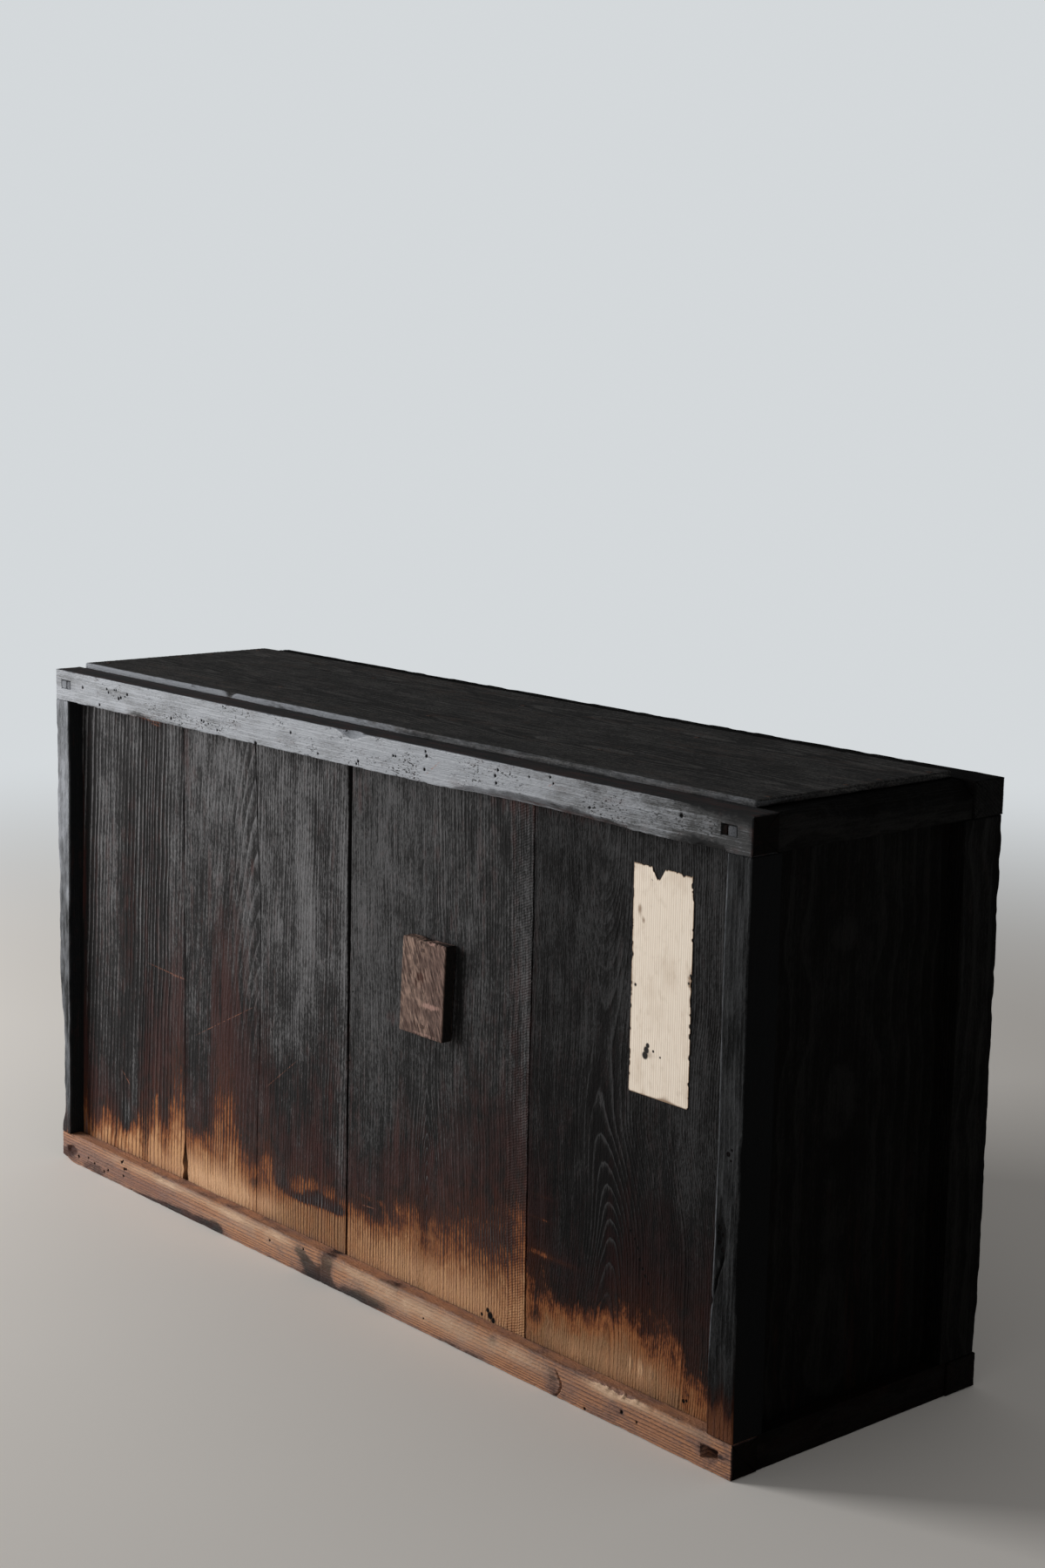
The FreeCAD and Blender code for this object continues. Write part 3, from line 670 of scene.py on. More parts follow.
def paper_finish():
    """Aged paper: laid lines along its height, pulp clouds, brown foxing and a dark worm hole."""
    f = Finish("aged_paper")
    laid_pitch = 3.7
    wander = f.noise((12, 20, 160), 2)
    wave = (f.axis("X") * (2 * np.pi / (laid_pitch * mm)) + wander * 5.0).math("SINE")
    laid = wave * 0.25 + wander * 0.3 + 0.35
    pulp = f.noise((9, 9, 14), 4)
    cloud = f.noise((35, 30, 60), 3, (2.2, 0.3, 1.1))
    colour = f.blend(laid * 1.2, paper_pale, paper_line)
    colour = f.blend(pulp.ease(0.5, 0.75) * 0.35, colour, paper_pulp)
    colour = f.blend(cloud.ease(0.5, 0.7) * 0.3, colour, foxing)
    soil = f.mark("soil") + (pulp - 0.5) * 0.5
    colour = f.blend(soil.ease(0.35, 0.9), colour, paper_soil)
    colour = f.blend(f.spots(worm_holes), colour, paper_hole)
    return f.surface(colour, 0.85, laid * 0.3 + pulp * 0.3, {"Specular IOR Level": 0.3})


pull_face, pull_red_side, saw_shadow = (0.33, 0.22, 0.17), (0.19, 0.115, 0.095), (0.04, 0.024, 0.02)
pull_fibre, pull_cloud, pull_rust = (0.1, 0.062, 0.048), (0.075, 0.043, 0.035), (0.06, 0.024, 0.016)
# Of the last two, the pale tone is pale wood and painted highlights, the near black is painted shade
pull_pale_and_highlight, pull_shade_black = (0.42, 0.255, 0.21), (0.009, 0.007, 0.006)


def pull_finish():
    """A rough-sawn block: slanting saw strokes, dry fibres, a rusty hollow, a pale score and a notch.

    The strokes are noise read at x plus a share of z, so that they lean. The soot mark blackens the
    right side as painted shade, the side turned away from the light; the notch is painted black as
    shade.
    """
    f = Finish("pull_wood")
    lean = 0.38
    stroke_wide, stroke_long = 3.6, 15.0
    across = (f.axis("X") + f.axis("Z") * lean) / (stroke_wide * mm)
    leaning = f.add("ShaderNodeCombineXYZ", None, {
        "X": across, "Y": f.axis("Y") / (stroke_wide * mm), "Z": f.axis("Z") / (stroke_long * mm)
    })
    inputs = {"Vector": leaning.outputs["Vector"], "Scale": 1.0, "Detail": 4.0}
    stroke = f.value("ShaderNodeTexNoise", None, inputs)
    fibre = f.noise((2.0, 4, 12), 4)
    cloud = f.noise((24, 20, 20), 3, (1.2, 0.6, 3.1))
    reddish = f.axis("X").ease(cad_low[0] + 905 * mm, cad_low[0] + 950 * mm) * 0.75
    face = f.blend(reddish, pull_face, pull_red_side)
    colour = f.blend((stroke - 0.42) * 5.0, face, saw_shadow)
    colour = f.blend((fibre - 0.42) * 2.4, colour, pull_fibre)
    colour = f.blend(cloud.ease(0.42, 0.66) * 0.65, colour, pull_cloud)
    rusty = f.mark("stain") + (stroke - 0.5) * 6.0
    colour = f.blend(rusty.ease(0.6, 1.6), colour, pull_rust)
    # Pale marks: the score, the pale chip, and painted highlights on the lit edges
    pale = f.mark("haze") + (fibre - 0.5) * 1.6
    colour = f.blend(pale.ease(0.3, 1.0) * 0.7, colour, pull_pale_and_highlight)
    notch = f.spots(((917, 541, 4.0), (922, 543, 3.0), (914, 545, 2.4)))
    # The right side and the notch are painted near black as shade
    colour = f.blend(f.mark("soot").most(notch), colour, pull_shade_black)
    return f.surface(colour, 0.85, stroke * 2.2 + fibre * 1.0, {"Specular IOR Level": 0.2})


scale_black, scale_rust = (0.03, 0.026, 0.024), (0.11, 0.045, 0.025)
inner_cedar, inner_rib = (0.24, 0.135, 0.075), (0.13, 0.062, 0.032)


def iron_finish():
    """Old forged iron: dark brown rust over black scale."""
    f = Finish("wrought_iron")
    scale = f.noise((0.8, 0.8, 0.8), 4)
    colour = f.blend(scale.ease(0.4, 0.6), scale_black, scale_rust)
    return f.surface(colour, 0.55 + scale * 0.3, scale * 0.3, {"Metallic": 0.6})


def inner_finish(axis):
    """Plain sawn cedar inside the chest: fibres along it, and rings from slow bands of noise."""
    f = Finish("inner_wood_" + axis)
    fibre = f.noise(grain(axis, 2.0, 60), 4)
    band = f.noise(grain(axis, 14, 400), 2)
    late = f.late(band * 9.0 + fibre * 0.3)
    colour = f.blend(late * 0.8 + (fibre - 0.5) * 0.6, inner_cedar, inner_rib)
    return f.surface(colour, 0.8, late * 0.2 + fibre * 0.5, {"Specular IOR Level": 0.3})


# Front boards

# The soot's lower edge as points (x, height), and how softly it fades in above, as points (x, share of
# 100 mm). The patches add to what the board finishes read: soot, haze, stain, rib and worn.

soot_line = (
    (25, 108), (33, 105), (48, 104), (59, 98), (69, 94), (79, 93), (94, 96), (104, 102), (114, 105),
    (124, 102), (132, 101), (149, 103), (169, 106), (180, 111), (190, 124), (197, 134), (207, 152),
    (220, 162), (225, 138), (233, 131), (241, 150), (247, 146), (255, 117), (263, 114), (271, 126),
    (278, 155), (295, 166), (311, 172), (318, 167), (323, 125), (336, 116), (351, 113), (366, 115),
    (381, 116), (391, 127), (398, 146), (408, 165), (416, 158), (423, 146), (431, 150), (442, 155),
    (452, 150), (462, 133), (472, 125), (482, 118), (492, 107), (507, 103), (522, 109), (532, 121),
    (542, 130), (552, 116), (562, 99), (578, 99), (593, 108), (618, 120), (638, 124), (668, 124),
    (698, 122), (724, 117), (744, 119), (759, 113), (779, 106), (794, 105), (804, 109), (814, 118),
    (829, 125), (850, 136), (865, 143), (880, 140), (892, 135), (900, 131), (906, 117), (914, 118),
    (925, 131), (940, 133), (955, 134), (971, 135), (981, 137), (996, 140), (1026, 134), (1041, 138),
    (1056, 143), (1071, 148), (1086, 155), (1102, 164), (1113, 170), (1118, 118), (1127, 114),
    (1137, 118), (1147, 122), (1154, 117), (1162, 109), (1172, 104), (1192, 103), (1212, 104),
    (1233, 110), (1253, 114), (1268, 120), (1283, 127), (1303, 130), (1323, 123), (1338, 116),
    (1354, 116), (1364, 122), (1379, 126), (1394, 120), (1409, 114), (1424, 108), (1439, 101),
    (1454, 92), (1474, 85),
)
soot_fade = (
    (20, 0.7), (70, 0.4), (90, 0.3), (160, 0.3), (188, 0.5), (250, 0.85), (268, 0.95), (318, 1.05),
    (324, 0.4), (385, 0.42), (398, 0.95), (420, 1.05), (450, 0.95), (480, 0.7), (500, 0.85),
    (540, 0.85), (560, 0.5), (580, 0.4), (610, 0.32), (720, 0.32), (800, 0.34), (840, 0.6), (900, 0.6),
    (950, 0.8), (990, 1.0), (1110, 1.1), (1117, 0.8), (1150, 0.75), (1166, 0.36), (1260, 0.36),
    (1310, 0.6), (1370, 0.8), (1440, 0.8), (1480, 0.5),
)
soot_lens = (
    (661, 106, 32, 9, 2.1), (622, 97, 26, 6, 1.9), (703, 104, 24, 8, 1.7), (154, 106, 13, 24, 1.9),
    (180, 150, 8, 60, 1.0), (505, 88, 14, 18, 0.5), (782, 143, 34, 6, -0.9), (1186, 168, 32, 4.6, -1.7),
    (1138, 168, 18, 4, -0.6), (430, 150, 36, 26, 0.15), (296, 152, 26, 26, 0.2),
    (1054, 150, 50, 30, 0.4), (430, 215, 38, 50, -0.2), (228, 190, 26, 36, -0.3),
    (1086, 215, 26, 40, -0.3), (1134, 80, 20, 50, 0.4), (1442, 85, 34, 60, 0.45), (60, 85, 40, 30, 0.2),
    (840, 120, 30, 20, 0.2), (1146, 214, 22, 2.6, -1.2), (1150, 245, 26, 2.6, -1.2),
    (580, 108, 16, 8, 0.6),
)
# The patch at x 972, z 468 is a painted shadow to the right of the pull block
haze_places = (
    (645, 430, 70, 130, -0.12), (197, 560, 9, 260, 0.45), (128, 600, 4, 280, 0.4),
    (90, 560, 22, 220, 0.12), (160, 440, 24, 250, -0.6), (179, 188, 7, 62, 0.5), (124, 240, 3, 70, 0.5),
    (154, 108, 14, 26, 0.5), (972, 468, 9, 62, -0.9), (250, 600, 40, 160, 0.05),
    (400, 680, 60, 90, 0.25), (470, 600, 30, 190, 0.15), (560, 600, 60, 160, 0.15),
    (640, 470, 30, 110, 0.45), (622, 580, 22, 150, 0.3), (420, 420, 60, 130, -0.2),
    (600, 250, 80, 70, -0.35), (1040, 280, 70, 110, -0.3), (1030, 640, 60, 150, -0.15),
    (1350, 240, 90, 80, -0.3), (1240, 400, 50, 110, -0.15), (720, 500, 9, 320, 0.5),
    (600, 330, 40, 90, 0.3), (523, 330, 5, 240, 0.35), (790, 430, 50, 260, 0.3),
    (860, 640, 90, 120, 0.1), (1000, 480, 70, 180, 0.12), (1105, 430, 8, 160, 0.5),
    (1180, 500, 50, 260, -0.15), (1300, 180, 70, 160, -0.2), (1400, 380, 34, 110, 0.4),
    (1440, 690, 30, 60, 0.25), (712, 200, 12, 90, 0.35), (1263, 716, 20, 8, 0.5),
    (1258, 634, 6, 9, 0.6), (1070, 450, 50, 300, -0.15),
)
stain_places = (
    (250, 290, 80, 80, 0.35), (640, 260, 80, 60, 0.35), (1160, 380, 50, 150, 0.3),
    (33, 400, 6, 500, 2.2), (230, 752, 60, 12, 1.4), (330, 700, 14, 60, 0.9), (240, 230, 60, 70, 0.35),
    (60, 150, 40, 80, 0.5), (430, 260, 26, 150, 0.9), (480, 330, 60, 110, 0.6),
    (700, 250, 50, 130, 0.7), (844, 250, 12, 80, 0.7), (760, 720, 24, 30, 0.6),
    (940, 180, 160, 60, 0.4), (1085, 560, 16, 200, 0.25), (1120, 400, 10, 300, 0.4),
    (1130, 230, 16, 10, 1.3), (1156, 170, 40, 7, 1.4), (1124, 150, 8, 60, 1.0),
    (1330, 170, 60, 40, 0.6), (1080, 738, 50, 16, 0.8), (1180, 748, 130, 9, 0.9),
    (1150, 220, 50, 90, 0.6), (1290, 230, 16, 60, 0.6), (1456, 180, 12, 130, 0.9),
    (1462, 250, 8, 260, 0.9), (1390, 150, 90, 50, 0.3), (690, 640, 12, 120, 0.4), (503, 563, 5, 9, 1.3),
    (826, 410, 9, 9, 0.9), (1310, 330, 60, 200, 0.35), (178, 188, 12, 66, -1.3),
    (152, 108, 16, 28, -1.2), (712, 200, 14, 90, -0.7), (630, 190, 60, 50, 0.5), (380, 44, 800, 7, 0.5),
    (190, 450, 150, 170, 0.4), (425, 440, 80, 170, 0.5), (1000, 560, 90, 120, 0.25),
)
rib_places = (
    (70, 520, 40, 260, 1.0), (232, 560, 36, 220, 0.9), (60, 80, 40, 40, 0.4), (228, 145, 40, 50, 1.6),
    (655, 92, 80, 44, 2.2), (800, 80, 80, 40, 1.0), (1045, 150, 66, 54, 2.6), (425, 155, 44, 60, 1.9),
    (296, 170, 28, 45, 0.9), (1264, 85, 50, 42, -0.65), (909, 210, 34, 90, 2.0),
    (1268, 240, 34, 80, 3.2), (1262, 340, 30, 60, 1.5), (1252, 420, 26, 70, 1.6),
    (500, 640, 40, 100, 0.6), (910, 640, 26, 90, 0.8),
)
pale_places = (
    (370, 58, 60, 26, 1.0), (455, 62, 50, 20, 0.8), (540, 62, 40, 16, 0.4), (1313, 76, 3.0, 9, 0.9),
    (1331, 75, 3.4, 10, 0.9), (1350, 74, 3.0, 9, 0.8), (250, 60, 40, 20, 0.3), (880, 62, 90, 22, 0.35),
    (1010, 66, 60, 30, 0.3), (1215, 60, 70, 16, 0.3), (1330, 66, 50, 20, 0.25),
)

# The lines of the board seams and of the posts' noses as points (height, x)

split = (
    (41, 509), (222, 513.4), (292, 518.4), (434, 521), (541, 521.1), (582, 516.4), (743, 508.7),
    (770, 508),
)
gap_left = ((41, 727.7), (131, 729.4), (743, 730), (770, 730))
gap_right = (
    (41, 730.8), (131, 731.3), (240, 732.5), (367, 733.4), (466, 734.6), (573, 735.8), (770, 737.8),
)
door_seam = (
    (41, 1115), (81, 1113.7), (235, 1114.1), (336, 1113.9), (450, 1115.3), (543, 1115.9), (641, 1116.9),
    (770, 1115.4),
)
left_seam = ((41, 322.6), (400, 323.5), (770, 323.6))
left_post_line = ((46, 23.6), (122, 24.6), (339, 27.7), (621, 34.6), (752, 34))
right_post_line = (
    (46, 1472.2), (140, 1470.6), (260, 1474.6), (420, 1476.4), (628, 1474.8), (752, 1477),
)
half_seam = 0.4


def ragged(z, seed, amount):
    """The small uneven loss along a board's edge."""
    return amount * (0.5 + 0.5 * layered(z / 9, 0, seed, 3))


def open_foot(z, low, high, amount):
    """How far a seam has opened at its foot."""
    return amount * (1 - ease(low, high, z)) * (0.8 + 0.4 * soft(z / 12, 3, 5))


def edge(points, side, seed, seam=half_seam, opening=None):
    """A board's edge: a line of (height, place), held back by half the seam and by its ragged wear.

    side is -1 for a left edge and 1 for a right one. opening widens the seam at its foot.
    """
    def place(z):
        back = seam + ragged(z, seed, 0.5)
        if opening:
            back = back + open_foot(z, *opening)
        return along_line(z, points) - side * back
    return place


def front_board(
        node, body, finish, left, right, heart_x, heart_depth, ring_width, seed, ridge=0.6, sway=2.0,
        haze_loss=0.0, squeeze=0.0):
    """An upright board: its two edges are functions of height, and its rings run round a heart line.

    left and right hold what edge takes. heart_x is a line through points (height, x) and heart_depth one
    through points (height, depth behind the face). Where the depth changes with height, the rings cross
    the face as nested arches. squeeze sets them closer together near the heart line.
    """
    low, high = extent(node)
    start, end = left[0][0][1], right[0][0][1]
    corners = ((start, low[1]), (end, low[1]), (end, high[1]), (start, high[1]))
    spacing = (1.1, 5, 24, 5)
    board = Stick("z", corners, spacing, rows(low[2], high[2], step=3.4))
    share = (board.x - start) / (end - start)
    left_x, right_x = edge(*left)(board.z), edge(*right)(board.z)
    board.x = left_x + share * (right_x - left_x)
    across = board.x - along_line(board.z, heart_x)
    across = across + squeeze * np.tanh(across / 20)
    through = along_line(board.z, heart_depth) + board.y - board_face
    rings = growth(board.z, across, through, ring_width, seed, sway)
    coarse = 1 + 0.6 * layered(board.x / 30, board.z / 500, seed + 3, 2)
    weather(board, rings, ridge * coarse, rough=0.25, seed=seed)
    gouged = patches(board.x, board.z, far_board_gouges)
    board.y += np.where(board.y < board_face + 3, gouged, 0)
    above = board.z - along_line(board.x, soot_line)
    fade = along_line(board.x, soot_fade)
    above = above / np.where(above > 0, 100 * fade, 8 + 85 * fade)
    behind = ease(0.8, 2.5, board.y - board_face)
    board.marks["soot"] = above + patches(board.x, board.z, soot_lens) + 3.0 * behind
    board.marks["rib"] = patches(board.x, board.z, rib_places)
    low_loss = 0.38 * (1 - ease(150, 560, board.z))
    board.marks["haze"] = patches(board.x, board.z, haze_places) - low_loss
    board.marks["haze"] -= haze_loss + 1.5 * behind
    board.marks["worn"] = patches(board.x, board.z, pale_places)
    board.marks["stain"] = patches(board.x, board.z, stain_places)
    make(node + "_wood", [board], body, [node], finish)


def make_front_boards():
    """The five upright boards of the front; the door board rides on the door."""
    def board_finish(name, bare_tone, **more):
        """A board's finish: the bare wood is the chest's cedar times a tone."""
        bare = (shade(bare_cedar, bare_tone), shade(bare_rib, bare_tone))
        return smoked_wood("smoked_" + name, "z", bare=bare, polish_and_sheen=pale_cedar, **more)

    left_tones = {"dark": (0.012, 0.011, 0.0112), "light": (0.13, 0.127, 0.13)}
    marked = {"pits": board_pits, "scores": board_scores}
    outer = board_finish("outer_board", bare_tone=1.14, ribs=1.0, **left_tones, **marked)
    left_hand = board_finish(
        "left_board", bare_tone=1.08, ribs=0.8, scores=board_scores, **left_tones)
    shaded = board_finish("third_board", bare_tone=0.76, ribs=0.8, **left_tones, **marked)
    middle = board_finish(
        "door_board", bare_tone=1.04, dark=(0.0085, 0.008, 0.008), light=(0.082, 0.08, 0.082),
        char_depth=0.8, ribs=0.6, ladder=(1050, 1100, 3.8), **marked)
    right_hand = board_finish(
        "right_board", bare_tone=0.6, dark=(0.0055, 0.005, 0.005), light=(0.033, 0.0325, 0.0335),
        red=(0.016, 0.006, 0.0055), gloss=0.12, char_depth=0.5, ribs=0.45, pits=far_board_pits)
    front_board(
        "front_board_1", carcass, outer,
        left=(left_post_line, -1, 11),
        right=(left_seam, 1, 12, half_seam, (60, 118, 8.5)),
        heart_x=((0, -150), (800, -120)),
        heart_depth=((0, 160), (800, 120)),
        ring_width=8.8, seed=21, ridge=1.0, haze_loss=-0.03)
    front_board(
        "front_board_2", carcass, left_hand,
        left=(left_seam, -1, 13, half_seam, (58, 108, 5.5)),
        right=(split, 1, 14, 0.3),
        heart_x=((0, 545), (400, 548), (800, 535)),
        heart_depth=((0, 60), (300, 70), (560, 118), (800, 150)),
        ring_width=6.6, seed=22, haze_loss=-0.02)
    front_board(
        "front_board_3", carcass, shaded,
        left=(split, -1, 15, 0.3),
        right=(gap_left, 1, 16, 0.2),
        heart_x=((0, 330), (800, 350)),
        heart_depth=((0, 120), (800, 90)),
        ring_width=5.8, seed=23)
    front_board(
        "door_board", door, middle,
        left=(gap_right, -1, 19, 0.2),
        right=(door_seam, 1, 20),
        heart_x=((0, 909), (300, 909), (500, 902), (800, 890)),
        heart_depth=((0, 5), (150, 7), (330, 44), (430, 38), (520, 8), (800, 6)),
        ring_width=5.8, seed=25, squeeze=26)
    front_board(
        "front_board_4", carcass, right_hand,
        left=(door_seam, -1, 17),
        right=(right_post_line, 1, 18),
        heart_x=(
            (0, 1262), (155, 1272), (224, 1275), (290, 1266), (380, 1248), (560, 1254), (800, 1240)),
        heart_depth=((0, 18), (120, 22), (380, 56), (480, 60), (560, 54), (680, 30), (800, 18)),
        ring_width=3.9, seed=24, sway=3.0)


# Frame of the chest

# From one end to the other, x of the mortises, of their tenons and of their wedges

tenon_zone = ((17.0, 43.5), (1464.0, 1490.5))
tenon_span = ((17.0, 32.0), (1475.5, 1490.5))
wedge_span = ((32.0, 43.5), (1464.0, 1475.5))

# Heights of the through tenons, and how far the sill's stand back from its face

top_tenon = (771.0, 784.0)
sill_tenon = (17.0, 30.0)
sill_tenon_setback = {-1: 8.0, 1: 15.0}
groove_play = 0.5
groove_y = (board_face - groove_play, board_back + groove_play)
groove_roof = board_high[2] + 0.3
groove_floor = board_low[2]
full_soot = 5.0
wear_limits = (0.4, 14)
pit_depth = 2.5
mortise_sink = 5.0
open_mortise_x, open_mortise_z = (1463.5, 1492.0), (14.0, 30.5)


def aged(stick, heart, ring_width, ridge, rough, seed):
    """Gives a stick its rings round a straight heart line, wears it and blackens it."""
    rings = growth(stick.run, stick.first - heart[0], stick.second - heart[1], ring_width, seed)
    weather(stick, rings, ridge, rough, seed)
    stick.marks["soot"] = np.full(stick.x.shape, full_soot)


def close_groove(rail, joint, sunk):
    """Brings the groove's roof or floor back to the rail's face beyond the posts' noses."""
    inside = ease(20, 24, rail.x) * (1 - ease(1472, 1476, rail.x))
    near_joint = abs(rail.z - joint) <= abs(sunk - joint) + 2
    in_groove = (abs(rail.y - sum(groove_y) / 2) < 9) & near_joint
    lip = np.argmin(abs(rail.y[0] - groove_y[0] / 2) + abs(rail.z[0] - joint))
    shut = rail.z[:, lip : lip + 1] + (rail.z - joint) * 0.02
    rail.z = np.where(in_groove, shut + (rail.z - shut) * inside, rail.z)


rail_soot = (
    (1447, 802, 30, 7, 3.2), (1495, 800, 30, 12, 1.3), (1436, 756, 24, 6, 3.2), (1400, 752, 20, 3, 1.2),
    (1512, 770, 4, 60, 0.4), (300, 768, 30, 10, 0.15), (360, 764, 34, 8, 0.2), (430, 768, 24, 9, 0.2),
    (238, 757, 24, 4, 0.6),
)
rail_flecks = (
    (180, 776, 26, 8, 1.2), (330, 764, 60, 10, 1.0), (430, 766, 40, 9, 1.0), (850, 768, 40, 9, 1.2),
    (770, 760, 30, 7, 0.8), (1000, 786, 60, 8, 0.8), (1270, 768, 50, 10, 0.8), (620, 766, 30, 8, 0.7),
)
rail_stains = (
    (215, 753, 40, 3, 1.2), (268, 756, 22, 3, 1.2), (1180, 753, 130, 3, 1.0), (1514, 775, 4, 40, 0.5),
    (1200, 756, 200, 3, 0.6),
)
# Patches of painted sheen on the rail's face, lighter and darker, added to its haze
rail_painted_sheen = (
    (815, 780, 34, 16, 0.35), (915, 775, 16, 14, 0.3), (600, 792, 90, 8, 0.2), (440, 790, 60, 10, 0.15),
    (690, 760, 60, 8, -0.12), (700, 785, 70, 12, 0.14), (260, 770, 40, 20, -0.12),
)


def make_top_rail(end_finish):
    """The front top rail: grooved below, its arrises worn, with a chip above and a long wane below."""
    low, high = rail_low, rail_high
    corners = (
        (low[1], low[2]), (groove_y[0], low[2]), (groove_y[0], groove_roof), (groove_y[1], groove_roof),
        (groove_y[1], low[2]), (high[1], low[2]), (high[1], high[2]), (low[1], high[2]),
    )
    fine = [(sum(pair) / 2, 19, 0.8) for pair in tenon_zone]
    fine += [(x, size + 2, 0.8) for x, z, size in rail_pits]
    spacing = (2, 6, 6, 6, 6, 10, 1.6, 1.1)
    rail = Stick("x", corners, spacing, rows(low[0], high[0], step=3.0, finer=fine), radius=0.8)
    close_groove(rail, low[2], groove_roof)
    aged(rail, heart=(20, 690), ring_width=3.4, ridge=0.28, rough=0.35, seed=31)
    x = rail.x
    top_wear = 1.6 + 1.4 * layered(x / 24, 0, 32) + 9 * bump(x, 768, 26) + 3 * ease(1380, 1440, x)
    wane = ease(945, 1110, x) * (1 - ease(1180, 1345, x))
    low_wear = 1.2 + 1.0 * layered(x / 14, 0, 33) + (13 + 2 * soft(x / 30, 0, 34)) * wane
    low_wear = low_wear + 3 * bump(x, 250, 24)
    low_wear = low_wear + 6 * ease(1418, 1440, x) * (1 - ease(1470, 1476, x)) + 4 * bump(x, 1016, 20)
    rail.pare({"y": low[1], "z": high[2]}, np.clip(top_wear, *wear_limits))
    pared = rail.pare({"y": low[1], "z": low[2]}, np.clip(low_wear, *wear_limits))
    for pair in tenon_zone:
        rail.recess(pair, top_tenon, mortise_sink)
    rail.y += np.where(rail.y < 3, pit_depth * np.minimum(dimples(x, rail.z, rail_pits), 1), 0)
    # The rail's haze is mostly a painted sheen of the window light on the soot, patchy along it; worn
    # here is that sheen with some wear
    mottled = layered(x / 48, rail.z / 15, 35, 4)
    worn = 0.58 + 0.12 * ease(450, 650, x) + 0.45 * mottled / (1 + abs(mottled))
    worn = worn + patches(x, rail.z, rail_painted_sheen)
    rail.marks["fleck"] = patches(x, rail.z, rail_flecks)
    black = patches(x, rail.z, rail_soot) * (1 + 0.6 * layered(x / 6, rail.z / 4, 36))
    up_face = ease(high[2] - 1.5, high[2] - 0.5, rail.z) * ease(1.5, 4, rail.y)
    ends = ease(1.0, 0.4, x) + ease(length - 1.0, length - 0.4, x)
    # The sheen is painted weaker towards the right end, as painted shade, and the pared lower arris and
    # wane are painted darker as shade
    painted_shade_right = 0.55 * ease(1100, 1270, x) + 0.36 * ease(1320, 1410, x) - 0.15 * bump(x, 1000, 90)
    rail.marks["haze"] = worn - black - 0.3 * ease(0.5, 4, pared) - 1.6 * up_face - painted_shade_right - 2.0 * ends
    rail.marks["stain"] = patches(x, rail.z, rail_stains) + 0.7 * up_face
    # The light tone is a painted silvery sheen over the soot
    finish = smoked_wood(
        "worn_rail", "x", dark=(0.008, 0.008, 0.0085), light=(0.24, 0.253, 0.278), contrast=0.5,
        rough=0.5, gloss=0.4, relief=0.35, flecks=0.18, pits=rail_pits, scores=rail_scores)
    make("front_top_rail_wood", [rail], carcass, ["front_top_rail"], finish, end_finish)


sill_soot = (
    (440, 8, 14, 10, 1.5), (415, 6, 40, 9, 1.3), (345, 4, 50, 7, 1.4), (275, 2, 50, 6, 1.1),
    (225, -1, 30, 4, 1.0), (648, 33, 14, 8, 1.2), (664, 24, 14, 10, 1.6), (682, 12, 20, 12, 1.6),
    (700, 2, 34, 12, 1.5), (716, 24, 15, 30, 1.6), (60, 6, 60, 10, 0.6), (20, 20, 26, 14, 0.6),
    (180, 26, 20, 10, 0.35), (770, 4, 34, 12, 1.1), (820, 8, 44, 10, 1.1), (875, 36, 9, 6, 0.6),
    (1199, 18, 10, 20, 0.6), (1078, 36, 8, 9, 1.2), (560, 40, 130, 6, 0.3), (29, 20, 17, 8, 0.9),
    (1477, 23, 15, 8, 1.2), (980, 2, 90, 6, 0.5), (1507, 20, 7, 30, 0.5), (545, 2, 90, 7, 0.5),
    (1497, 25, 4, 4, 0.9), (1325, 22, 6, 5, 0.6), (130, 10, 60, 8, 0.4),
)
sill_haze = ((100, 35, 80, 12, 0.4), (300, 30, 90, 10, 0.3))
sill_stains = ((60, 22, 240, 20, 0.9), (300, 14, 120, 12, 0.6))
# Rubbed places on the sill's front, with painted highlights along its upper arris
sill_rubbed_and_highlights = (
    (260, 39, 110, 6, 0.7), (470, 38, 90, 6, 0.8), (560, 28, 90, 14, 0.3), (600, 38, 40, 6, 0.6),
    (930, 28, 150, 14, 0.7), (790, 38, 60, 6, 0.6), (1120, 32, 60, 10, 0.5), (1322, 42, 40, 5, 1.3),
    (1400, 40, 70, 5, 0.5), (420, 20, 60, 5, 0.25), (1290, 38, 30, 6, 0.8),
)


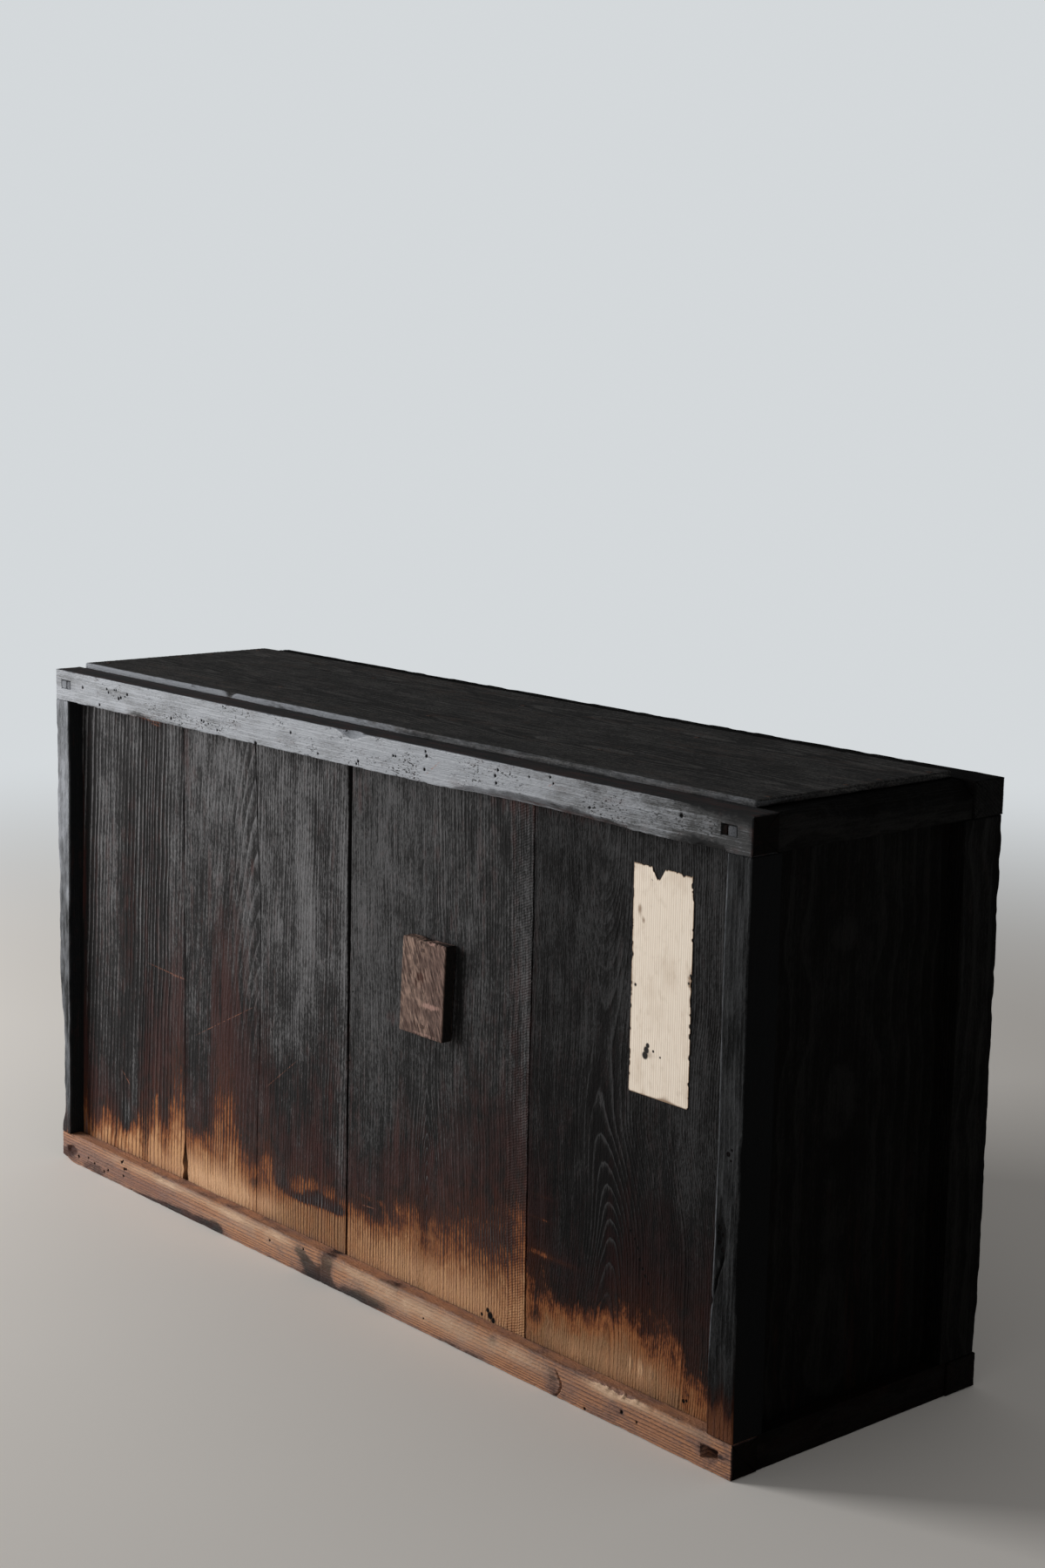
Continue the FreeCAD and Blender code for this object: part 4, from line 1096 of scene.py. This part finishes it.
def make_sill(end_finish):
    """The front sill: grooved above, stepped on and worn, with soot in patches and two open mortises."""
    low, high = sill_low, sill_high
    corners = (
        (low[1], low[2]), (high[1], low[2]), (high[1], high[2]), (groove_y[1], high[2]),
        (groove_y[1], groove_floor), (groove_y[0], groove_floor),
        (groove_y[0], high[2]), (low[1], high[2]),
    )
    fine = [(29, 18, 0.8), (1477, 19, 0.8), (1204, 16, 0.8)]
    fine += [(x, size + 2, 0.8) for x, z, size in sill_pits]
    spacing = (6, 12, 8, 5, 6, 5, 1.6, 1.1)
    sill = Stick("x", corners, spacing, rows(low[0], high[0], step=3.0, finer=fine), radius=0.8)
    close_groove(sill, high[2], groove_floor)
    aged(sill, heart=(30, -60), ring_width=4.6, ridge=0.4, rough=0.5, seed=41)
    x = sill.x
    splinter = bump(x, 1330, 55) * (0.6 + 0.6 * soft(x / 5, 0, 43))
    between_posts = ease(14, 40, x), 1 - ease(1462, 1490, x)
    top_wear = 4.5 + 2.2 * layered(x / 60, 0, 42) + 5 * splinter
    top_wear = top_wear * between_posts[0] * between_posts[1] + 0.6
    low_wear = 1.5 + 1.0 * layered(x / 20, 0, 44) + 7 * (1 - ease(4, 34, x))
    sill.pare({"y": low[1], "z": high[2]}, np.clip(top_wear, *wear_limits))
    sill.pare({"y": low[1], "z": low[2]}, np.clip(low_wear, *wear_limits))
    sill.recess(open_mortise_x, open_mortise_z, depth=14.5)
    face = sill.y < 4
    hole = np.hypot((x - 29) / 15, (sill.z - 20) / 9)
    sill.y += np.where(face, 4.0 * (1 - ease(0.6, 1.05, hole)), 0)
    sill.y += np.where(face, pit_depth * np.minimum(dimples(x, sill.z, sill_pits), 1), 0)
    crack_x = 1212 - 9 * ((sill.z - 18) / 17) ** 2 + 0.8 * soft(sill.z / 3, 0, 45)
    sill.y += np.where(face, 3.0 * bump(x, crack_x, 1.5) * (1 - ease(33, 38, sill.z)), 0)
    low_crack = 1.5 * bump(x, 305 + sill.z * 0.2, 0.9) * (sill.z < 20)
    sill.y += np.where(face, 2.0 * bump(x, 699.5, 0.9) + low_crack, 0)
    black = patches(x, sill.z, sill_soot)
    up_face = ease(40, 45.5, sill.z) * (0.12 + 0.3 * layered(x / 50, sill.y / 9, 47))
    up_face = up_face * (1 - 0.5 * ease(900, 1200, x))
    ends = ease(1.0, 0.4, x) + ease(length - 1.5, length - 0.6, x)
    sill.marks["soot"] = black + up_face - 0.8 + 0.35 * layered(x / 40, sill.z / 12, 46) + 2.5 * ends
    sill.marks["haze"] = patches(x, sill.z, sill_haze) - 0.25 - 2.0 * ends
    # Rubbed wood and painted highlights on the upper arris
    sill.marks["worn"] = patches(x, sill.z, sill_rubbed_and_highlights) * face * (1 - np.minimum(ends, 1))
    sill.marks["stain"] = patches(x, sill.z, sill_stains)
    finish = smoked_wood(
        "worn_sill", "x", dark=(0.009, 0.0085, 0.009), light=(0.05, 0.047, 0.048),
        bare=((0.43, 0.205, 0.108), (0.07, 0.028, 0.018)), fringe=mauve_fringe, contrast=1.25,
        rough=0.6, gloss=0.3, polish_and_sheen=(0.6, 0.4, 0.26), pits=sill_pits)
    make("front_sill_wood", [sill], carcass, ["front_sill"], finish, end_finish)


knot_x, knot_z = 1485.5, 292


def make_front_post(side, finish):
    """A front post: one L-shaped section, the narrow nose before the boards and the shoulder behind."""
    node = "front_post_left" if side < 0 else "front_post_right"
    low, high = extent(node)
    line = left_post_line if side < 0 else right_post_line
    nose = float(along_line(np.array(400.0), line))
    step_y = groove_y[1]
    if side < 0:
        corners = (
            (low[0], low[1]), (nose, low[1]), (nose, step_y),
            (high[0], step_y), (high[0], high[1]), (low[0], high[1]),
        )
        spacing = (1.1, 3, 8, 8, 10, 2.5)
    else:
        corners = (
            (nose, low[1]), (high[0], low[1]), (high[0], high[1]),
            (low[0], high[1]), (low[0], step_y), (nose, step_y),
        )
        spacing = (1.1, 2.5, 10, 8, 8, 3)
    post = Stick("z", corners, spacing, rows(post_foot, post_top, step=2.6), radius=0.8)
    z = post.z
    near_nose = 1 - np.clip(abs(post.x - nose) / 12, 0, 1)
    post.x = post.x + (along_line(z, line) - nose) * near_nose * (post.y < step_y + 1.5)
    heart_x, heart_behind = (50 if side < 0 else 1440), 90
    across, through = post.first - heart_x, post.second + heart_behind
    rings = growth(post.run, across, through, ring_width=3.6, seed=50 + side)
    knot = np.zeros(z.shape)
    if side > 0:
        knot = bump(post.x, knot_x, 6.5) * bump(z, knot_z, 11)
    rings = rings + 5 * knot
    weather(post, rings, ridge=0.35 if side < 0 else 0.18, rough=0.4, seed=52 + side)
    wear = 1.8 + 1.6 * layered(z / 26, 0, 54 + side)
    if side < 0:
        wear = wear + 9 * ease(52, 90, z) * (1 - ease(190, 330, z)) + 2.5 * bump(z, 470, 30)
    else:
        wear = wear + 3.5 * bump(z, 395, 22) + 4 * bump(z, 250, 40)
    post.pare({"x": low[0] if side < 0 else high[0], "y": low[1]}, np.clip(wear, *wear_limits))
    if side > 0:
        split_x = 1479 + (z - 231) * 0.28 + 1.2 * soft(z / 9, 0, 57)
        gape = bump(post.x, split_x, 1.5) * ease(150, 200, z) * (1 - ease(262, 285, z))
        post.y += np.where(post.y < 6, 2.8 * gape + 4.0 * knot, 0)
    front_face = 1 - ease(1.5, 4, post.y)
    foot_line = (36 if side < 0 else 86) + 14 * soft(post.x / 5, 0, 58)
    post.marks["soot"] = (z - foot_line) / 25 + full_soot * (1 - front_face)
    haze = 0.2 * layered(post.x / 14, z / 60, 59 + side) - 0.4 * knot - 1.2 * (1 - front_face) + 0.06
    if side > 0:
        ring = np.hypot((post.x - knot_x) / 6, (z - knot_z) / 17)
        dark = 0.19 * (1 - ease(240, 640, z)) + 4.0 * bump(ring, 1, 0.3) - 1.5 * bump(ring, 0, 0.5)
        haze = haze - dark
        crack = 1.2 * bump(post.x, 1484 + 0.02 * (z - 320), 1.2) * ease(300, 310, z)
        haze = haze - crack * (1 - ease(335, 350, z))
    post.marks["haze"] = haze
    if side < 0:
        # The left post's front: rubbed wood and a painted sheen of the window light, stronger higher up
        mottled = 0.5 + 0.3 * layered(post.x / 9, z / 40, 66)
        wear_and_sheen = mottled - 0.3 + 0.45 * ease(360, 520, z)
        post.marks["worn"] = front_face * wear_and_sheen * ease(60, 130, z)
    else:
        # A painted highlight line along the worn arris beside the boards
        arris = bump(post.x, along_line(z, line) + 1.0, 0.9) * front_face
        post.marks["worn"] = arris * (0.45 + 0.15 * layered(z / 60, 0, 67)) * ease(120, 200, z)
    post.hub = (15.0, 44.0) if side < 0 else (length - 15.0, 44.0)
    reddish = ease(0.1, 0.5, layered(post.x / 12, z / 160, 63 + side))
    post.marks["stain"] = 0.25 * reddish * (side < 0)
    make(node + "_wood", [post], carcass, [node], finish)


def make_side(side, upright_finish, rail_finish):
    """One end of the chest: back post, side board, and the two side rails with their through tenons."""
    word = "left" if side < 0 else "right"
    outer_side = 3 if side < 0 else 1

    def fine_outside(fine, coarse):
        """The spacing of points on a section's four sides, fine on the side that faces out."""
        return tuple(fine if k == outer_side else coarse for k in range(4))

    low, high = extent("back_post_" + word)
    low[2], high[2] = post_foot, post_top
    outer = low[0] if side < 0 else high[0]
    post = timber("z", low, high, spacing=(8, 2.5, 3.0, 2.5), step=4.0, radius=1.2)
    aged(post, heart=(760, 520), ring_width=3.8, ridge=0.35, rough=0.5, seed=71 + side)
    worn = 2 + 1.8 * layered(post.z / 24, 0, 72 + side) + 6 * (1 - ease(60, 110, post.z))
    post.pare({"x": outer, "y": high[1]}, np.clip(worn, 0.5, 12))
    post.marks["haze"] = 0.1 * layered(post.y / 12, post.z / 90, 73)
    node = "back_post_" + word
    make(node + "_wood", [post], carcass, [node], upright_finish)

    low, high = extent("side_board_" + word)
    panel = timber("z", low, high, spacing=fine_outside(1.6, 14), step=4.6)
    aged(panel, heart=(757, 150 + 40 * side), ring_width=4.2, ridge=0.5, rough=0.4, seed=75 + side)
    panel.marks["haze"] = 0.15 * layered(panel.y / 60, panel.z / 150, 76 + side) - 0.1
    reddish = ease(0.0, 0.6, layered(panel.y / 16, panel.z / 190, 77 + side))
    panel.marks["stain"] = 1.3 * reddish * (1 - ease(120, 420, panel.z))
    node = "side_board_" + word
    make(node + "_wood", [panel], carcass, [node], upright_finish)

    make_side_rail(side, word, "top", top_tenon, fine_outside(1.4, 4), rail_finish)
    make_side_rail(side, word, "bottom", sill_tenon, fine_outside(1.4, 4), rail_finish)


def make_side_rail(side, word, level, tenon_height, spacing, finish):
    """A short rail between the long ones, with a bar for its two through tenons."""
    node = "side_" + level + "_rail_" + word
    low, high = extent(node)
    upper = level == "top"
    outer = low[0] if side < 0 else high[0]
    rail_width = 56
    low_x, high_x = (outer, outer + rail_width) if side < 0 else (outer - rail_width, outer)
    body_low = (low_x, rail_depth, low[2])
    body_high = (high_x, back_rail_front, high[2])
    rail = timber("y", body_low, body_high, spacing, step=3.0)
    if upper:
        share = ease(rail_depth, rail_depth + 150, rail.y)
        rail.pare({"x": outer, "z": high[2]}, 3 + 18 * share + 2.0 * layered(rail.y / 25, 0, 78))
    aged(rail, heart=(700, 830 if upper else -40), ring_width=4.0, ridge=0.35, rough=0.5, seed=79 + side)
    if not upper:
        rail.marks["soot"] = 1.4 + 0.5 * layered(rail.y / 40, rail.z / 14, 81)
    rail.marks["haze"] = 0.1 * layered(rail.y / 50, rail.z / 10, 82)
    first, last = tenon_span[0 if side < 0 else 1]
    setback = 0.3 if upper else sill_tenon_setback[side]
    # The front tenon ends are rubbed and carry a painted sheen, more at the left end than the right
    wear_and_sheen = 0.9 if side < 0 else 0.35
    ends = []
    for start, end in ((setback, rail_depth + 4), (back_rail_front - 4, depth - 0.3)):
        tenon_low = (first + 0.5, start, tenon_height[0] + 0.5)
        tenon_high = (last - 0.5, end, tenon_height[1] - 0.5)
        tenon = timber("y", tenon_low, tenon_high, (1.2,) * 4, step=8.0, radius=0.8, corner=0.7)
        aged(tenon, heart=(700, 700), ring_width=2.0, ridge=0.1, rough=0.2, seed=83 + side)
        tenon.marks["haze"] = np.full(tenon.x.shape, 0.1)
        tenon.marks["worn"] = np.full(tenon.x.shape, wear_and_sheen if upper and start < 1 else 0.0)
        ends.append(tenon)
    make(node + "_wood", [rail] + ends, carcass, [node], finish)


def make_wedges(finish):
    """The wedges driven in beside the through tenons: in the front at the top, and in the back."""
    sticks = []
    back_run = depth - 34.0, depth - 0.4
    places = (top_tenon, 0.6, 34.0), (top_tenon, *back_run), (sill_tenon, *back_run)
    for first, last in wedge_span:
        for level, start, end in places:
            low = (first + 0.4, start, level[0] + 0.6)
            high = (last - 0.4, end, level[1] - 0.6)
            wedge = timber("y", low, high, (1.0,) * 4, step=6.0, radius=0.8, corner=0.7)
            aged(wedge, heart=(760, 700), ring_width=1.6, ridge=0.15, rough=0.3, seed=85)
            wedge.marks["haze"] = np.full(wedge.x.shape, -0.6)
            wedge.marks["stain"] = np.full(wedge.x.shape, 0.9)
            # Only the left front wedge is rubbed, with a painted sheen
            wedge.marks["worn"] = np.full(wedge.x.shape, 0.6 if first < 100 and start < 1 else 0.0)
            sticks.append(wedge)
    make("tenon_wedges_wood", sticks, carcass, ["tenon_wedges"], finish)


def make_back(rail_finish, board_finish):
    """The back: two long rails and four upright boards between them."""
    for node, upper in (("back_top_rail", True), ("back_bottom_rail", False)):
        low, high = extent(node)
        fine = [(sum(pair) / 2, 19, 0.8) for pair in tenon_zone]
        rail = timber("x", low, high, spacing=(6, 2.0, 3.0, 8), step=5.0, finer=fine)
        aged(rail, heart=(520, 900 if upper else -80), ring_width=3.8, ridge=0.35, rough=0.5, seed=91)
        for z_face, seed in ((low[2], 93), (high[2], 95)):
            wear = 1.5 + 1.5 * layered(rail.x / 30, 0, seed)
            rail.pare({"y": high[1], "z": z_face}, np.clip(wear, 0.4, 9))
        level = top_tenon if upper else sill_tenon
        for first, last in tenon_zone:
            across = (rail.x > first) & (rail.x < last)
            inside = across & (rail.z > level[0]) & (rail.z < level[1])
            rail.y[inside & (rail.y > depth - mortise_sink)] = depth - mortise_sink
        if not upper:
            rail.marks["soot"] = 1.5 + 0.5 * layered(rail.x / 60, rail.z / 14, 96)
        make(node + "_wood", [rail], carcass, [node], rail_finish)
    for index in range(4):
        node = f"back_board_{index + 1}"
        low, high = extent(node)
        panel = timber("z", low, high, spacing=(24, 5, 2.6, 5), step=6.0)
        middle = (low[0] + high[0]) / 2 + 70 * (index - 1.5)
        heart_depth = along_line(panel.z, ((0, 60), (400, 90 + 30 * index), (800, 70)))
        rings = growth(panel.z, panel.x - middle, heart_depth, ring_width=4.4, seed=97 + index)
        weather(panel, rings, ridge=0.45, rough=0.35, seed=101 + index)
        patchy = 0.5 * layered(panel.x / 30, panel.z / 200, 105)
        panel.marks["soot"] = 1.6 + patchy + (panel.z - 120) / 260
        panel.marks["haze"] = 0.2 * layered(panel.x / 50, panel.z / 180, 107)
        panel.marks["stain"] = ease(-0.1, 0.6, layered(panel.x / 40, panel.z / 200, 109))
        make(node + "_wood", [panel], carcass, [node], board_finish)


def make_top():
    """The two long top planks: thin, with a silvery front edge of wear and painted sheen, and a chip in
    it.
    """
    finish = smoked_wood(
        "top_plank", "x", dark=(0.016, 0.015, 0.014), light=(0.085, 0.08, 0.075),
        red=(0.05, 0.03, 0.022), rough=0.72, gloss=0.25, flecks=0.4)
    for node, heart in (("top_board_front", 150.0), ("top_board_back", 330.0)):
        low, high = extent(node)
        front_plank = node == "top_board_front"
        plank = timber("x", low, high, spacing=(26, 2.0, 1.6, 1.6), step=5.0, radius=1.6)
        x = plank.x
        heart_depth = along_line(x, ((0, 46), (700, 70), (1100, 52), (1500, 64)))
        across, through = plank.y - heart, plank.z - high[2] + heart_depth
        rings = growth(x, across, through, ring_width=4.0, seed=111, sway=4.0, reach=160)
        weather(plank, rings, ridge=0.4, rough=0.35, seed=112)
        wear = 2 + 1.4 * layered(x / 16, 0, 113) + 5 * bump(x, 413, 14) * front_plank
        plank.pare({"y": low[1] if front_plank else high[1], "z": high[2]}, np.clip(wear, 0.4, 8))
        dent = bump(x, 302, 12) * bump(plank.y, 310, 6)
        plank.z -= np.where(plank.z > high[2] - 3, 1.8 * dent, 0)
        plank.marks["soot"] = np.full(x.shape, full_soot)
        worn_edge = (1 - ease(low[1] + 1, low[1] + 4, plank.y)) * front_plank
        plank.marks["haze"] = 0.12 * layered(x / 160, plank.y / 30, 114) - 1.2 * dent
        # The front edge's silvery strip is wear and a painted sheen that fades towards the right
        wear_and_sheen = worn_edge * (1.3 - 1.1 * ease(600, 900, x))
        plank.marks["worn"] = wear_and_sheen * (1 + 0.3 * layered(x / 30, 0, 116))
        plank.marks["worn"] *= (1 - bump(x, 413, 9)) * (1 + 0.5 * layered(x / 9, plank.z / 2, 117))
        plank.marks["stain"] = 0.4 * ease(0, 0.6, layered(x / 200, plank.y / 40, 115))
        make(node + "_wood", [plank], carcass, [node], finish)


# Pull block and paper

# Patches as x, z, half width, half height and a strength

pull_stains = ((912, 489, 13, 7, 1.7), (909, 478, 8, 7, 1.1), (880, 530, 30, 5, 0.4))
# A pale chip on the top edge, and painted highlights along the lower arris and the left edge
pull_pale_wood_and_highlights = ((936, 541, 9, 4, 1.5), (920, 412, 40, 2.2, 0.7), (882, 470, 2.0, 60, 0.6))
paper_stains = (
    (1311, 652, 6, 12, 0.75), (1318, 640, 4, 6, 0.7), (1396, 582, 5, 14, 0.55), (1362, 428, 14, 8, 0.5),
    (1306, 558, 4, 5, 0.6), (1329, 479, 12, 12, 0.55), (1384, 440, 12, 8, 0.45),
    (1348, 476, 18, 7, 0.35), (1326, 505, 8, 14, 0.3),
)


def make_pull():
    """The pull block: rough-sawn, leaning a little, its corners rounded and its top edge notched."""
    low, high = extent("pull_block")
    lean = 7.0
    upright_low = (low[0] + lean / 2, *low[1:])
    upright_high = (high[0] - lean / 2, *high[1:])
    spacing = (1.2, 1.6, 6, 1.6)
    block = timber("z", upright_low, upright_high, spacing, step=1.3, radius=2.2)
    block.x += lean * ((block.z - low[2]) / (high[2] - low[2]) - 0.5)
    x, z = block.x.copy(), block.z.copy()
    strokes = 0.35 + 0.35 * layered((x + z * 0.5) / 3.2, z / 26, 121)
    hollow = bump(x, 912, 11) * bump(z, 487, 9)
    score = bump(z, 452 + (x - 930) * 0.04 + soft(x / 6, 0, 126), 4.2)
    score = score * (0.2 + 0.8 * bump(x, 934, 20)) * ease(884, 912, x)
    block.shave(strokes * 0.9 + 0.3 * layered(z / 12, x / 12, 122) ** 2 + 1.4 * hollow + 0.3 * score)
    chips = 4.0 * bump(x, 918, 6) + 1.5 * bump(x, 935, 4) + 0.8 + 0.8 * layered(x / 5, 0, 123)
    block.z -= chips * ease(high[2] - 12, high[2], z)
    block.pare({"y": low[1], "z": high[2]}, 1.5 + 1.2 * layered(x / 7, 0, 124))
    block.marks["stain"] = patches(x, z, pull_stains)
    block.marks["haze"] = 1.2 * score + patches(x, z, pull_pale_wood_and_highlights)
    # Painted shade: the side that faces right, away from the light, is blackened
    block.marks["soot"] = ease(0.55, 0.95, block.out[0])
    make("pull_block_wood", [block], door, ["pull_block"], pull_finish())


def make_paper():
    """The pasted slip: a thin sheet with a notched, torn top, nibbled edges and a faint ripple.

    u and v run from 0 to 1 across and up the sheet. Its edges are straight lines less their nibbles, and
    the torn depth fades in over the top tenth.
    """
    low, high = extent("paper_slip")
    spacing = (1.2, 9, 1.2, 9)
    sheet = timber("z", low, high, spacing, step=1.3, radius=0.08, corner=0.06)
    sheet.paired_ends = True
    u = (sheet.x - low[0]) / (high[0] - low[0])
    v = (sheet.z - low[2]) / (high[2] - low[2])
    left = 1.2 * ease(0.2, 0.9, layered(v * 40, 0, 141)) + 1.5 * bump(v, 0.6, 0.02)
    right = 1.8 * ease(0.1, 0.8, layered(v * 44, 3, 142)) + 3.0 * ease(0.9, 0.97, v)
    right = right + 2.0 * bump(v, 0.47, 0.03)
    torn = 15 * np.clip(1 - abs(u - 0.445) / 0.1, 0, 1)
    torn = torn + 6 * ease(0.315, 0.33, u) * (1 - ease(0.4, 0.44, u))
    torn = torn + 1.6 * ease(0, 0.7, layered(u * 23, 1, 143)) + 3.5 * bump(u, 0.85, 0.03)
    sheet.x += left * (1 - u) - right * u
    sheet.z -= torn * ease(0.9, 1.0, v)
    ripple = (0.5 + 0.5 * layered(u * 5, v * 13, 145)) * 0.22
    in_front = sheet.y < (low[1] + high[1]) / 2
    sheet.y = np.where(in_front, high[1] - 0.14 - ripple, high[1] - 0.02 - ripple * 0.5)
    paper_width, paper_height = 103, 284
    from_edge = np.minimum(np.minimum(u, 1 - u) * paper_width, np.minimum(v, 1 - v) * paper_height)
    soiled_edge = 0.9 * np.exp(-from_edge / 2.2)
    sheet.marks["soil"] = soiled_edge + patches(sheet.x, sheet.z, paper_stains)
    make("paper_slip_sheet", [sheet], carcass, ["paper_slip"], paper_finish())


# Making the chest

def dress(finish, *nodes):
    """Gives its finish to plain pieces that keep the shape they have."""
    for node in nodes:
        for material_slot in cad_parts[node].material_slots:
            material_slot.material = finish


make_front_boards()
make_front_post(
    -1, smoked_wood(
        "worn_post", "z", dark=(0.008, 0.009, 0.01), light=(0.05, 0.052, 0.056), rough=0.55))
make_front_post(
    1, smoked_wood(
        "dark_post", "z", dark=(0.0058, 0.006, 0.0062), light=(0.069, 0.071, 0.074),
        red=(0.008, 0.006, 0.0055), bare=((0.13, 0.05, 0.024), (0.05, 0.018, 0.01)),
        fringe=post_fringe, contrast=0.28, gloss=0.05, char_depth=0.5, pits=post_pits))
side_black, side_grey = (0.003, 0.0026, 0.0022), (0.0078, 0.0072, 0.0064)
side_red = (0.008, 0.0038, 0.003)
scorched = ((0.05, 0.022, 0.012), (0.02, 0.009, 0.006))
side_upright, side_long, back_long = (
    smoked_wood(
        name, axis, side_black, side_grey, side_red, scorched, gloss=0.05, char_depth=0.2)
    for name, axis in (("side_upright", "z"), ("side_long", "y"), ("back_long", "x")))
make_top_rail(side_long)
make_sill(side_long)
for end in (-1, 1):
    make_side(end, side_upright, side_long)
make_wedges(side_long)
make_back(back_long, side_upright)
make_top()
make_pull()
make_paper()
lengthwise = inner_finish("x")
crosswise = inner_finish("y")
dress(lengthwise, "door_batten_lower", "door_batten_upper", "floor_board_front", "floor_board_back")
dress(crosswise, *(f"top_bearer_{k}" for k in (1, 2, 3)), *(f"floor_bearer_{k}" for k in (1, 2, 3, 4)))
dress(iron_finish(), "pull_nails", "top_nails")


# Studio

# What the camera sees behind the chest, its floor, what shiny faces mirror, and the light all round

backdrop_tone = (0.66, 0.69, 0.71)
floor_tone = (0.86, 0.82, 0.77)
reflected_tone = (0.1, 0.105, 0.11)
ambient_tone = (0.22, 0.22, 0.22)


def make_floor():
    """A plain pale floor that fades into the backdrop a few metres away."""
    reach = 40.0
    mesh = bpy.data.meshes.new("floor")
    corners = [(x * reach, y * reach, cad_low[2]) for x, y in ((-1, -1), (1, -1), (1, 1), (-1, 1))]
    mesh.from_pydata(corners, [], [(0, 1, 2, 3)])
    floor = bpy.data.objects.new("floor", mesh)
    bpy.context.scene.collection.objects.link(floor)
    f = Finish("pale_floor")
    far = (f.axis("X") ** 2.0 + f.axis("Y") ** 2.0) ** 0.5
    mottled = f.noise((900, 900, 900), 2)
    tone = f.blend(mottled.ease(0.3, 0.7) * 0.25, floor_tone, shade(floor_tone, 0.93))
    near = f.add("ShaderNodeBsdfDiffuse", None, {"Color": tone})
    away = f.add("ShaderNodeEmission", None, {"Color": backdrop_tone, "Strength": 1.0})
    inputs = {0: far.ease(1.6, 4.5), 1: near.outputs[0], 2: away.outputs[0]}
    mix = f.add("ShaderNodeMixShader", None, inputs)
    f.add("ShaderNodeOutputMaterial", None, {"Surface": mix.outputs[0]})
    mesh.materials.append(f.material)


def make_world():
    """Even pale light; the camera sees the backdrop's tone and reflections see a dimmer one."""
    world = bpy.data.worlds.new("studio")
    bpy.context.scene.world = world
    world.use_nodes = True
    studio = Nodes(world.node_tree)
    path = studio.add("ShaderNodeLightPath").outputs
    ambient, reflected, backdrop = (
        studio.add("ShaderNodeBackground", None, {"Color": tone}).outputs[0]
        for tone in (ambient_tone, reflected_tone, backdrop_tone))
    rays = {0: path["Is Glossy Ray"], 1: path["Is Transmission Ray"]}
    shiny = studio.add("ShaderNodeMath", {"operation": "MAXIMUM"}, rays).outputs[0]
    result = ambient
    for factor, other in ((shiny, reflected), (path["Is Camera Ray"], backdrop)):
        inputs = {0: factor, 1: result, 2: other}
        result = studio.add("ShaderNodeMixShader", None, inputs).outputs[0]
    studio.add("ShaderNodeOutputWorld", None, {"Surface": result})


def make_lamp(name, place, aim, size, power):
    """A soft rectangular lamp that the camera doesn't see."""
    data = bpy.data.lights.new(name, "AREA")
    data.shape = "RECTANGLE"
    data.size, data.size_y = size
    data.energy = power
    lamp = bpy.data.objects.new(name, data)
    bpy.context.scene.collection.objects.link(lamp)
    lamp.location = place
    lamp.rotation_euler = (Vector(aim) - Vector(place)).to_track_quat("-Z", "Y").to_euler()
    lamp.visible_camera = False


def make_camera():
    """The photograph's view: an eye place and three turns, with the lens for its frame.

    The camera looks along y, turned left by yaw, down by pitch, and then about its own axis by roll.
    """
    eye = np.array((2.6990, -2.2608, 1.3306))
    yaw, pitch, roll = 0.8540, 0.1760, 0.0176
    level = np.array((-np.sin(yaw), np.cos(yaw), 0.0))
    forward = level * np.cos(pitch) - np.array((0.0, 0.0, np.sin(pitch)))
    right = np.array((np.cos(yaw), np.sin(yaw), 0.0))
    down = np.cross(forward, right)
    spun_right = np.cos(roll) * right - np.sin(roll) * down
    spun_down = np.sin(roll) * right + np.cos(roll) * down
    data = bpy.data.cameras.new("camera")
    data.sensor_width = 36.0
    data.lens = 58.235
    camera = bpy.data.objects.new("camera", data)
    bpy.context.scene.collection.objects.link(camera)
    columns = np.eye(4)
    columns[:3, :4] = np.stack([spun_right, -spun_down, -forward, eye], axis=1)
    camera.matrix_world = Matrix(columns.tolist())
    bpy.context.scene.camera = camera


make_floor()
make_world()
make_lamp(
    "window_light", place=(-3.4, -2.6, 1.45), aim=(0.0, -0.2, 0.45), size=(1.8, 2.6), power=185.0)
make_camera()
bpy.context.scene.view_settings.view_transform = "Standard"
